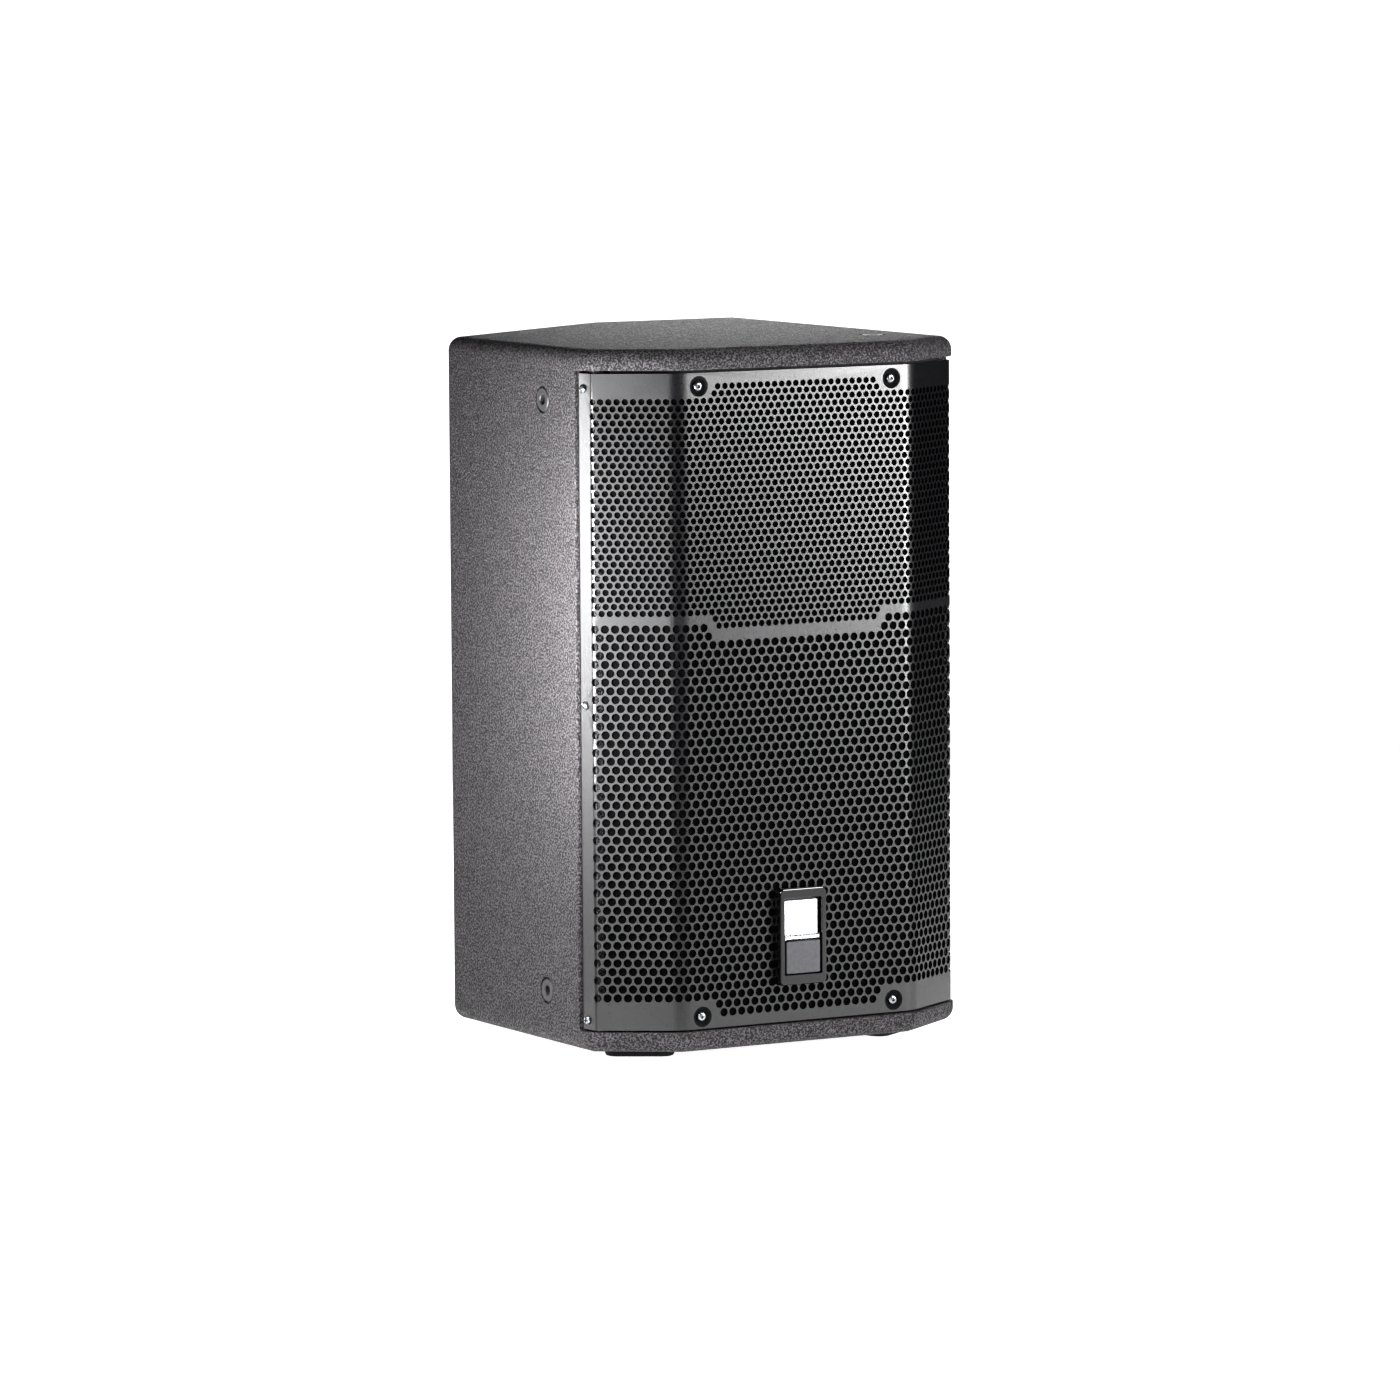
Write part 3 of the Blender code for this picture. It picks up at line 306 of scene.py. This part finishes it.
def cabinet_shell():
    """The boards' outside with its rounded edges, the grille's recess and the space inside, in one skin."""
    split = SIDE_FRONT_Y + ARRIS
    corners = [(-HALF, split), (-HALF, LIP_CORNER_Y), (-LIP_X, LIP_Y), (LIP_X, LIP_Y), (HALF, LIP_CORNER_Y),
               (HALF, split), (HALF, BACK_Y), (CUT_X, BACK_Y), (-HALF, CUT_Y)]
    radii = [0, CORNER_R, LIP_BEND_R, LIP_BEND_R, CORNER_R, 0] + [CORNER_R] * 3
    full = fillet(corners, radii)
    right = full.index(Vector((HALF, split)))
    levels = []
    for k in range(ARC_STEPS + 1):
        turn = math.pi / 2 * k / ARC_STEPS
        inset = EDGE_R * (1 - math.sin(turn))
        outline = fillet(offset(corners, inset), [r - inset if r else 0 for r in radii])
        levels.append((outline, EDGE_R * (1 - math.cos(turn))))
    for k in range(4):
        turn = math.pi / 2 * k / 3
        inset = ARRIS * (1 - math.cos(turn))
        moved = fillet(offset(corners, inset), [r - inset if r else 0 for r in radii])
        outline = [moved[i] if 0 < i < right else full[i] for i in range(len(full))]
        levels.append((outline, WOOD - ARRIS * (1 - math.sin(turn))))

    count, rows = len(full), len(levels)
    rings = levels + [(outline, WOOD_HEIGHT - z) for outline, z in levels[::-1]]
    points = [placed(p.x, p.y, z) for outline, z in rings for p in outline]
    faces = []
    for row in range(2 * rows - 1):
        for i in range(right if row == rows - 1 else 0, count):
            j = (i + 1) % count
            faces.append((row * count + i, row * count + j, (row + 1) * count + j, (row + 1) * count + i))
    faces += [tuple(range(count)), tuple(range((2 * rows - 1) * count, 2 * rows * count))]

    front = [(HALF, split), (HALF, SIDE_FRONT_Y), (HALF - REBATE, SIDE_FRONT_Y), (HALF - REBATE, BAFFLE_Y),
             (HALF - WOOD, BAFFLE_Y)]
    arris = fillet(front, [0, ARRIS, 0, 0, 0], 3)[2:]
    walls = offset([(HALF, BAFFLE_Y), (HALF, BACK_Y), (CUT_X, BACK_Y), (-HALF, CUT_Y), (-HALF, BAFFLE_Y)], WOOD)
    inside = arris + walls[1:4] + [Vector((-p.x, p.y)) for p in arris[::-1]]
    low, high = len(points), len(points) + len(inside)
    points += [placed(p.x, p.y, z) for z in (WOOD, WOOD_HEIGHT - WOOD) for p in inside]
    loops = []
    for row, start in ((rows - 1, low), (rows, high)):
        loop = [row * count + right] + list(range(start, start + len(inside))) + [row * count]
        faces.append(tuple(range(row * count, row * count + right + 1)) + tuple(loop[1:-1]))
        loops.append(loop)
    faces += [(loops[0][i], loops[0][i + 1], loops[1][i + 1], loops[1][i]) for i in range(len(inside) + 1)]
    return closed(points, faces)


def spatter(name, colours):
    """Sprayed spatter paint: droplets under 2 mm wide over a fine base coat, their tips a little smoother."""
    made = bpy.data.materials.new(name)
    made.use_nodes = True
    tree = made.node_tree
    tree.nodes.clear()
    place = node(tree, "ShaderNodeTexCoord")
    drops = node(tree, "ShaderNodeTexNoise", {"Vector": place.outputs["Object"], "Scale": 1 / DROPS,
                                              "Detail": 2.0, "Roughness": 0.6})
    drift = node(tree, "ShaderNodeTexNoise", {"Vector": place.outputs["Object"], "Scale": 1 / DRIFT})
    mixed = node(tree, "ShaderNodeMix", {0: 0.08, 2: drops.outputs[0], 3: drift.outputs[0]})
    cover = node(tree, "ShaderNodeMapRange", {"Value": mixed.outputs[0], "From Min": 0.45, "From Max": 0.60})
    fine = node(tree, "ShaderNodeTexNoise", {"Vector": place.outputs["Object"], "Scale": 1 / BASE_COAT})
    tint = node(tree, "ShaderNodeMix", {0: cover.outputs[0], 6: to_linear(colours[0]),
                                        7: to_linear(colours[1])}, data_type="RGBA")
    gloss = node(tree, "ShaderNodeMapRange", {"Value": cover.outputs[0], "To Min": 0.78, "To Max": 0.56})
    base = node(tree, "ShaderNodeBump", {"Height": fine.outputs[0], "Distance": 0.00008})
    height = node(tree, "ShaderNodeBump", {"Height": cover.outputs[0], "Distance": 0.00050,
                                           "Normal": base.outputs[0]})
    shader = node(tree, "ShaderNodeBsdfPrincipled",
                  {"Base Color": tint.outputs[2], "Roughness": gloss.outputs[0], "IOR": 1.49,
                   "Normal": height.outputs[0]})
    node(tree, "ShaderNodeOutputMaterial", {"Surface": shader.outputs[0]})
    return made


cutters = [
    upright(rounded_rect(0.1666, 0.1116, POCKET_CORNER_R), "X", (-0.0028, CUT_PAST), HANDLE_AT),
    upright(rounded_rect(0.1556, 0.1006, POCKET_CORNER_R), "X", (-CUT_DEEP, CUT_PAST), HANDLE_AT),
    upright(rounded_rect(0.1306, 0.1106, POCKET_CORNER_R), "Y", (-0.0023, CUT_PAST), INPUT_AT),
    upright(rounded_rect(0.1166, 0.0966, POCKET_CORNER_R), "Y", (-CUT_DEEP, CUT_PAST), INPUT_AT),
    upright(circle(0.0503, 48), "Z", (-CUT_PAST, 0.0023), POLE_AT),
    upright(circle(0.0201, 48), "Z", (-CUT_PAST, CUT_DEEP), POLE_AT),
    upright(circle(INSERT_HOLE_R, 32), "Z", (-CUT_DEEP, CUT_PAST), TOP_INSERT_AT),
]
for z in INSERT_LEVELS.values():
    cutters.append(upright(circle(INSERT_HOLE_R, 32), "X", (-CUT_DEEP, CUT_PAST), (HALF, INSERT_Y, z)))
    cutters.append(upright(circle(INSERT_HOLE_R, 32), "X", (-CUT_PAST, CUT_DEEP), (-HALF, INSERT_Y, z)))
paint = spatter("sprayed charcoal spatter paint", PAINT)
shell = piece("cabinet_shell", carve(cabinet_shell(), cutters), paint)
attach(shell, "cabinet")
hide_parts("top_board", "bottom_board", "left_side_panel", "right_side_panel", "rear_left_panel",
            "back_panel")

# Grille. One steel sheet, punched with two fields of round holes, bent at two soft corners and two tight
# flange folds, pressed into four dished screw seats and powder coated black.
SHEET = 0.0015
GRILLE_SIDE = Vector((0.1790, 0.0395))
GRILLE_END = Vector((0.1824, 0.0564))
GRILLE_LOW = 0.0196
GRILLE_HIGH = 0.5844
BEND_R = 0.030
FOLD_R = 0.003
FACET = math.atan2(GRILLE_SIDE.y, GRILLE_SIDE.x - LIP_X)
FOLD_S = LIP_X + (GRILLE_SIDE - Vector((LIP_X, 0))).length
FLANGE = math.atan2(GRILLE_END.y - GRILLE_SIDE.y, GRILLE_END.x - GRILLE_SIDE.x)
END_S = FOLD_S + (GRILLE_END - GRILLE_SIDE).length
SEAT_X = 0.0959
SEAT_Z = {"lower": 0.0301, "upper": 0.5730}
SEAT_PRESS = [(0.0089, 0.0), (0.0084, 0.0003), (0.0055, 0.0028), (0.0050, 0.0029), (0.0034, 0.0029)]
SEAT_CORNERS = 32
HOLE_CORNERS = 24
SIDE_SCREW_Y = 0.050
SIDE_HOLE_R = 0.0021
SIDE_HOLE_CORNERS = 16
BEND_POINTS = 0.004
BEND_POINTS_CLEAR = 0.0043
SIDE_SCREW_Z = {"lower": 0.0277, "middle": 0.2996, "upper": 0.5715}
BADGE_SIZE = (0.048, 0.0855)
BADGE_Z = 0.0943
POWDER = ("#08080a", "#0f0f11")
# Darker black for the pressed seats: painted shade in the dishes.
SEAT_PAINTED_SHADE = ("#040404", "#0a0a0a")

# Each field: radius, corners of its holes, pitch across, pitch down, height of row 0, parity of the rows that
# are shifted by half a pitch, and for each run of rows the least and the greatest distance from the middle.
FIELDS = [
    (0.00280, 10, 0.00703, 0.006037, 0.5603, 1,
     [(range(-2, -1), 0, 0.0774), (range(-1, 0), 0, 0.0809), (range(0, 31), 0, 0.1900),
      (range(31, 32), 0, 0.0809), (range(32, 33), 0, 0.0774)]),
    (0.00362, 12, 0.00879, 0.007574, 0.3658, 0,
     [(range(0, 1), 0.0922, 0.1895), (range(1, 2), 0.0878, 0.1895), (range(2, 43), 0, 0.1895),
      (range(43, 44), 0, 0.0792), (range(44, 45), 0, 0.0748)]),
]


def bent(s, z, depth=0.0):
    """Where the flat sheet's point (s across, z up) goes when it is bent; depth is back from its face."""
    along = lambda angle: Vector((math.cos(angle), math.sin(angle)))
    back = lambda angle: Vector((-math.sin(angle), math.cos(angle)))
    across, start, corner, heading = abs(s), 0.0, Vector((0, 0)), 0.0
    for fold_s, fold, radius, after in ((LIP_X, Vector((LIP_X, 0)), BEND_R, FACET),
                                        (FOLD_S, GRILLE_SIDE, FOLD_R, FLANGE)):
        reach = radius * math.tan((after - heading) / 2)
        if across <= fold_s - reach:
            break
        if across < fold_s + reach:
            angle = heading + (after - heading) * (across - fold_s + reach) / (2 * reach)
            point = fold - along(heading) * reach + back(heading) * radius - back(angle) * (radius - depth)
            return placed(math.copysign(point.x, s), point.y, z)
        start, corner, heading = fold_s, fold, after
    point = corner + along(heading) * (across - start) + back(heading) * depth
    return placed(math.copysign(point.x, s), point.y, z)


def pressed(s, z):
    """How far the screw seats press the sheet in at a point."""
    reach = min(math.hypot(abs(s) - SEAT_X, z - seat) for seat in SEAT_Z.values())
    for (outer, shallow), (inner, deep) in zip(SEAT_PRESS, SEAT_PRESS[1:]):
        if inner < reach < outer:
            return shallow + (deep - shallow) * (outer - reach) / (outer - inner)
    return 0.0 if reach >= SEAT_PRESS[0][0] else SEAT_PRESS[-1][1]


def punched(reach, low, high, depth, thick, holes, loops=(), press=lambda s, z: 0.0):
    """A bent sheet with holes of (s, z, radius, corners), out to reach on both sides.

    Loops are circles of points kept in the mesh, and press is how far a point is pressed in.
    """
    bend_run = BEND_R * math.tan(FACET / 2)
    fold_run = FOLD_R * math.tan((FLANGE - FACET) / 2)
    marks = [LIP_X + bend_run * k / 3 for k in range(-3, 4)] + [FOLD_S + fold_run * k / 2 for k in range(-2, 3)]
    marks = [m for m in marks if m < reach]
    marks = [-reach] + [-m for m in marks[::-1]] + marks + [reach]
    points = [Vector((s, low)) for s in marks] + [Vector((s, high)) for s in marks[::-1]]
    polygons = [list(range(len(points)))]
    centres = KDTree(len(holes) + len(loops))
    for k, (s, z, radius, corners) in enumerate(holes):
        polygons.append(list(range(len(points), len(points) + corners)))
        points += [Vector((s, z)) + p for p in circle(radius, corners)]
        centres.insert((s, z, 0), k)
    edges = []
    for k, (s, z, radius, corners) in enumerate(loops):
        edges += [(len(points) + i, len(points) + (i + 1) % corners) for i in range(corners)]
        points += [Vector((s, z)) + p for p in circle(radius, corners)]
        centres.insert((s, z, 0), k)
    centres.balance()
    for s in marks[1:-1]:
        for k in range(1, int((high - low) / BEND_POINTS)):
            if centres.find((s, low + k * BEND_POINTS, 0))[2] > BEND_POINTS_CLEAR:
                points.append(Vector((s, low + k * BEND_POINTS)))
    flat, _, triangles, _, _, owners = delaunay_2d_cdt(points, edges, polygons, 1, 1e-6)
    kept = [t for t, owner in zip(triangles, owners) if list(owner) == [0]]
    used = sorted({i for t in kept for i in t})
    number = {old: new for new, old in enumerate(used)}
    kept = [[number[i] for i in t] for t in kept]
    count = len(used)
    push = [depth + press(flat[i].x, flat[i].y) for i in used]
    solid = [bent(flat[i].x, flat[i].y, d) for i, d in zip(used, push)]
    solid += [bent(flat[i].x, flat[i].y, d + thick) for i, d in zip(used, push)]
    ways = {(t[i], t[(i + 1) % 3]) for t in kept for i in range(3)}
    faces = kept + [[i + count for i in t[::-1]] for t in kept]
    faces += [(a, a + count, b + count, b) for a, b in ways if (b, a) not in ways]
    data = bpy.data.meshes.new("sheet")
    data.from_pydata(solid, [], faces)
    return data


holes = []
for radius, corners, pitch, row_pitch, top, parity, runs in FIELDS:
    for rows, least, most in runs:
        for row in rows:
            for k in range(-28, 28):
                s = pitch * (k + 0.5 * (row % 2 == parity))
                z = top - row_pitch * row
                hidden = (abs(s) < BADGE_SIZE[0] / 2 - radius
                          and abs(z - BADGE_Z) < BADGE_SIZE[1] / 2 - radius)
                if least <= abs(s) <= most and not hidden:
                    holes.append((s, z, radius, corners))
side_s = FOLD_S + (SIDE_SCREW_Y - GRILLE_SIDE.y) / math.sin(FLANGE)
holes += [(way * side_s, z, SIDE_HOLE_R, SIDE_HOLE_CORNERS) for way in (-1, 1) for z in SIDE_SCREW_Z.values()]
holes += [(way * SEAT_X, z, SEAT_PRESS[-1][0], HOLE_CORNERS) for way in (-1, 1) for z in SEAT_Z.values()]
rounds = [(way * SEAT_X, z, radius, SEAT_CORNERS) for way in (-1, 1) for z in SEAT_Z.values()
          for radius, _ in SEAT_PRESS[:-1]]
powder_coat = finish("black powder coat on punched steel", POWDER, (0.27, 0.35), 0.0012, 0.00002, ior=1.6)
grille = piece("perforated_grille",
               punched(END_S, GRILLE_LOW, GRILLE_HIGH, 0.0, SHEET, holes, rounds, pressed), powder_coat, 25)
# The faces of the pressed seats get a darker, rougher and less reflective black: painted shade that makes the
# dished seats look black.
seat_painted_shade = finish("black powder with painted shade in the pressed seats", SEAT_PAINTED_SHADE, (0.7, 0.85), 0.0012, 0.00002, ior=1.3)
grille.data.materials.append(seat_painted_shade)
for face in grille.data.polygons:
    if min(math.hypot(abs(face.center.x) - SEAT_X, face.center.z - placed(0, 0, seat)[2])
           for seat in SEAT_Z.values()) < SEAT_PRESS[0][0]:
        face.material_index = 1
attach(grille, "cabinet")
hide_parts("grille")

# Foam. A thin black open-cell lining glued behind the sheet, cut round the screw seats; its cells are drawn
# 1 mm wide, a little coarser than real ones.
FOAM_DEPTH = SHEET + 0.0003
FOAM_THICK = 0.0024
FOAM_REACH = 0.183
FOAM_SHORT = 0.001
FOAM_SEAT_R = 0.0100
FOAM_BLACK = ("#030303", "#0b0b0b")
seats = [(way * SEAT_X, z, FOAM_SEAT_R, HOLE_CORNERS) for way in (-1, 1) for z in SEAT_Z.values()]
foam = piece("foam_lining", punched(FOAM_REACH, GRILLE_LOW + FOAM_SHORT, GRILLE_HIGH - FOAM_SHORT, FOAM_DEPTH,
                                    FOAM_THICK, seats),
             finish("black open-cell polyurethane foam", FOAM_BLACK, (0.95, 1.0), 0.001, 0.0006, ior=1.2))
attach(foam, "cabinet")
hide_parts("grille_foam")

# Grille screws. Four button-head cap screws of black oxide steel with hexagon sockets, in the dished seats,
# and three cross-recess pan-head screws through each flange. Their oxide is a worn grey, lighter than new.
OXIDE = ("#77797c", "#9a9c9f")
BUTTON = [(0.00010, 0.0021, "hexagon"), (0.0014, 0.0021, "hexagon"), (0.0014, 0.0005, "hexagon"),
          (0.0017, 0.0001, "round"), (0.0024, 0.0002, "round"), (0.0032, 0.0005, "round"),
          (0.0038, 0.0010, "round"), (0.0041, 0.0016, "round"), (0.0041, 0.0026, "round"),
          (0.0028, 0.0026, "round"), (0.0028, 0.0280, "round"), (0.0001, 0.0280, "round")]
PAN = [(0.0003, -0.0008, "cross"), (0.0019, -0.0010, "cross"), (0.0022, -0.0024, "cross"),
       (0.0028, -0.0022, "round"), (0.0034, -0.0016, "round"), (0.0038, -0.0008, "round"),
       (0.0038, -0.0003, "round"), (0.00175, -0.0003, "round"), (0.00175, 0.0105, "round"),
       (0.0001, 0.0105, "round")]


def edge_radius(form, radius, angle):
    """Distance from the axis to a round, hexagonal or cross-shaped outline at an angle."""
    if form == "hexagon":
        return radius * math.cos(math.pi / 6) / math.cos(angle % (math.pi / 3) - math.pi / 6)
    if form == "cross":
        folded = angle % (math.pi / 2)
        folded = min(folded, math.pi / 2 - folded)
        return min(radius / math.cos(folded), 0.3 * radius / max(math.sin(folded), 1e-6))
    return radius


def turned(profile, at, axis, count=48):
    """A solid turned round an axis through a point; the profile gives radius, distance along it and form."""
    spin = Vector(axis).to_track_quat("Z", "Y")
    rings = []
    for radius, level, form in profile:
        angles = [2 * math.pi * k / count for k in range(count)]
        reach = [edge_radius(form, radius, a) for a in angles]
        rings.append([at + spin @ Vector((r * math.cos(a), r * math.sin(a), level))
                      for r, a in zip(reach, angles)])
    return skin(rings)


oxide = finish("black oxide steel, oiled", OXIDE, (0.26, 0.36), 0.0009, 0.00001, metal=1.0)
flange_in = Vector((-math.sin(FLANGE), math.cos(FLANGE), 0))
for side, way in (("left", -1), ("right", 1)):
    for level, z in SEAT_Z.items():
        data = turned(BUTTON, placed(way * SEAT_X, 0, z), (0, 1, 0))
        screw = piece(f"cap_screw_{level}_{side}", data, oxide, 30)
        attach(screw, "cabinet")
        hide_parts(f"grille_screw_{level}_{side}")
    for level, z in SIDE_SCREW_Z.items():
        axis = Vector((way * flange_in.x, flange_in.y, 0))
        screw = piece(f"pan_screw_{level}_{side}", turned(PAN, bent(way * side_s, z), axis), oxide, 30)
        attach(screw, "cabinet")
        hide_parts(f"grille_side_screw_{level}_{side}")

# Badge. A moulded gloss black bezel stands on the grille; its pocket holds a silver plate with a raised
# ridge along its foot and, below that, a nearly flush dark grey plate. Both plates are blank.
BADGE_PROUD = 0.009
POCKET_Y = -0.0032
HOOD = 0.0095
CHIN = 0.0096
SLOPE = 0.0026
FACE = [BADGE_SIZE[0] - SLOPE, BADGE_SIZE[1] - SLOPE]
MOUTH = [0.0372, BADGE_SIZE[1] - HOOD - CHIN]
MOUTH_UP = (CHIN - HOOD) / 2
BEZEL = [(MOUTH[0] - 0.0006, MOUTH[1] - 0.0006, 0.0010, POCKET_Y, MOUTH_UP),
         (MOUTH[0], MOUTH[1], 0.0012, -0.0085, MOUTH_UP),
         (MOUTH[0] + 0.0008, MOUTH[1] + 0.0008, 0.0014, -BADGE_PROUD, MOUTH_UP),
         (FACE[0] - 0.0012, FACE[1] - 0.0012, 0.0030, -BADGE_PROUD, 0), (FACE[0], FACE[1], 0.0036, -0.0087, 0),
         (FACE[0] + 0.0010, FACE[1] + 0.0010, 0.0040, -0.0078, 0),
         (FACE[0] + 0.0018, FACE[1] + 0.0018, 0.0044, -0.0060, 0), (*BADGE_SIZE, 0.0046, -0.0003, 0)]
SILVER_PLATE = (0.0335, 0.0300, 0.0114)
RIDGE = (0.0346, 0.0046, 0.0414)
GREY_PLATE = (0.0337, 0.0282, 0.0469)
GLOSS = ("#040405", "#08080a")
SILVER = ("#d4d6d9", "#e6e7ea")
GREY = ("#333336", "#3d3d41")


def slab(plate, radius, levels):
    """A rounded plate of (width, height, distance below the badge's top edge); levels give inset and Y."""
    width, height, down = plate
    middle = BADGE_Z + BADGE_SIZE[1] / 2 - down - height / 2
    return skin([[placed(p.x, y, middle + p.y)
                  for p in rounded_rect(width - 2 * inset, height - 2 * inset, radius)] for inset, y in levels])


def merged(*shapes):
    """Several closed shapes in one mesh."""
    mesh = bmesh.new()
    for shape in shapes:
        mesh.from_mesh(shape)
    data = bpy.data.meshes.new("merged")
    mesh.to_mesh(data)
    mesh.free()
    return data


bezel = piece("badge_frame", skin([[placed(p.x, y, BADGE_Z + up + p.y) for p in rounded_rect(w, h, r)]
                                   for w, h, r, y, up in BEZEL]),
              finish("moulded gloss black ABS", GLOSS, (0.06, 0.10), 0.004, ior=1.53), 25)
silver = finish("satin chrome plated ABS", SILVER, (0.24, 0.32), 0.0015, 0.000004, metal=1.0)
upper = piece("badge_silver_plate",
              merged(slab(SILVER_PLATE, 0.0006, [(0, POCKET_Y), (0, -0.0042), (0.0004, -0.0046)]),
                     slab(RIDGE, 0.0005, [(0, POCKET_Y), (0, -0.0068), (0.0012, -0.0079)])), silver, 25)
lower = piece("badge_grey_plate", slab(GREY_PLATE, 0.0010, [(0, POCKET_Y), (0, -0.0080), (0.0004, -0.0085)]),
              finish("moulded satin grey ABS", GREY, (0.32, 0.40), 0.002, ior=1.53), 25)
for thing, cad, slot in ((bezel, "badge_bezel", "gloss_bezel"), (upper, "badge_upper_plate", "satin_silver"),
                         (lower, "badge_lower_plate", "dark_grey_plastic")):
    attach(thing, "cabinet")
    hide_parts(cad)

# Inside woodwork. Birch plywood: the brace is left raw, and what faces the grille is stained black.
# The veneer's figure runs up the boards.


def dress(material, *names):
    """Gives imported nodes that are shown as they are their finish."""
    for name in names:
        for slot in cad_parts[name].material_slots:
            slot.material = material


dress(finish("black stained birch plywood", ("#0d0c0c", "#191817"), (0.7, 0.85), 0.004, 0.0001,
             stretch=(1, 1, 0.1)),
      "front_baffle", "grille_rail_upper", "grille_post_left", "grille_post_right")
dress(finish("raw birch plywood", ("#a98457", "#cdae82"), (0.6, 0.75), 0.005, 0.0001, stretch=(1, 0.1, 1)),
      "shelf_brace")

# Woofer. Black die-cast basket, coated paper cone and cap on a treated cloth roll, phenolic cloth spider,
# copper winding, and a ferrite magnet between zinc plated steel plates.
dress(finish("black painted die-cast aluminium", ("#141415", "#222224"), (0.42, 0.55), 0.0015, 0.00005),
      "woofer_basket", "compression_driver")
dress(finish("coated black cone paper", ("#0e0e0e", "#1b1a19"), (0.75, 0.9), 0.0012, 0.0001),
      "woofer_cone", "woofer_dust_cap")
dress(finish("treated black surround cloth", ("#0a0a0a", "#151515"), (0.5, 0.65), 0.0008, 0.00008),
      "woofer_surround")
dress(finish("phenolic treated cotton", ("#8a5a22", "#b07d3c"), (0.7, 0.85), 0.0009, 0.0001), "woofer_spider")
dress(finish("enamelled copper winding", ("#8d3f1f", "#d07f55"), (0.22, 0.35), 0.0012, 0.00005, metal=1.0,
             stretch=(0.05, 1, 0.05)), "voice_coil", "crossover_inductor")
dress(finish("zinc plated steel", ("#8f9294", "#bcbfc1"), (0.28, 0.42), 0.006, metal=1.0,
             kind="ShaderNodeTexVoronoi"), "woofer_top_plate", "woofer_pole_yoke")
dress(finish("sintered ferrite", ("#232324", "#353536"), (0.5, 0.65), 0.003, 0.00004, ior=2.2), "woofer_magnet")

# Horn, ports, input panel and handle. Moulded black plastic with a fine spark-eroded grain; the switch's
# slider is white.
moulded = finish("moulded black ABS, fine grain", ("#101011", "#1a1a1b"), (0.45, 0.58), 0.0009, 0.00004,
                 ior=1.53)
dress(moulded, "horn", "port_tube_left", "port_tube_right", "input_plate", "side_handle", "mode_switch_body")
dress(finish("glass filled black nylon", ("#0c0c0d", "#161617"), (0.32, 0.42), 0.0015, 0.00002, ior=1.53),
      "input_connector", "output_connector")
dress(finish("moulded white nylon", ("#d8d7d2", "#e6e5e0"), (0.35, 0.45), 0.001, 0.00002, ior=1.53),
      "mode_switch_slider")

# Crossover and leads. A green glass-epoxy board, an amber film capacitor and PVC covered leads.
dress(finish("green solder mask on glass epoxy", ("#0f3f22", "#1b5c33"), (0.3, 0.45), 0.004, 0.00003),
      "crossover_board")
dress(finish("amber polyester film", ("#9c6413", "#c98a27"), (0.25, 0.4), 0.003), "crossover_capacitor")
dress(finish("red PVC insulation", ("#8c1010", "#a51616"), (0.4, 0.5), 0.002), "woofer_lead")
dress(finish("black PVC insulation", ("#0e0e0e", "#171717"), (0.4, 0.5), 0.002), "driver_lead")

# Suspension inserts. Steel sockets with an M10 thread, pressed flush into holes in the boards and sprayed
# over; the chamfer at the rim leaves a dark ring.
INSERT = [(0.0042, 0.0160, "round"), (0.0042, 0.0008, "round"), (0.0050, 0.0, "round"),
          (0.0096, 0.0, "round"), (0.0108, 0.0014, "round"), (0.0115, 0.0018, "round"),
          (0.0115, 0.0177, "round"), (0.0001, 0.0177, "round")]
INSERT_PLACES = {"top": (TOP_INSERT_AT, (0, 0, -1))}
for level, z in INSERT_LEVELS.items():
    INSERT_PLACES[f"left_{level}"] = ((-HALF, INSERT_Y, z), (1, 0, 0))
    INSERT_PLACES[f"right_{level}"] = ((HALF, INSERT_Y, z), (-1, 0, 0))
sprayed = finish("sprayed black on turned steel", ("#1a1a1b", "#2c2b2d"), (0.42, 0.6), 0.0014, 0.00008)
for place, (at, axis) in INSERT_PLACES.items():
    insert = piece(f"threaded_insert_{place}", turned(INSERT, placed(*at), axis), sprayed, 25)
    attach(insert, "cabinet")
    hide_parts(f"suspension_insert_{place}")

# Pole socket and feet. Pressed steel with black oxide, and moulded rubber.
dress(oxide, "pole_socket")
dress(finish("moulded black rubber", ("#0c0c0c", "#171717"), (0.7, 0.85), 0.0015, 0.00006, ior=1.52),
      "foot_front_left", "foot_front_right", "foot_rear_left", "foot_rear_right")
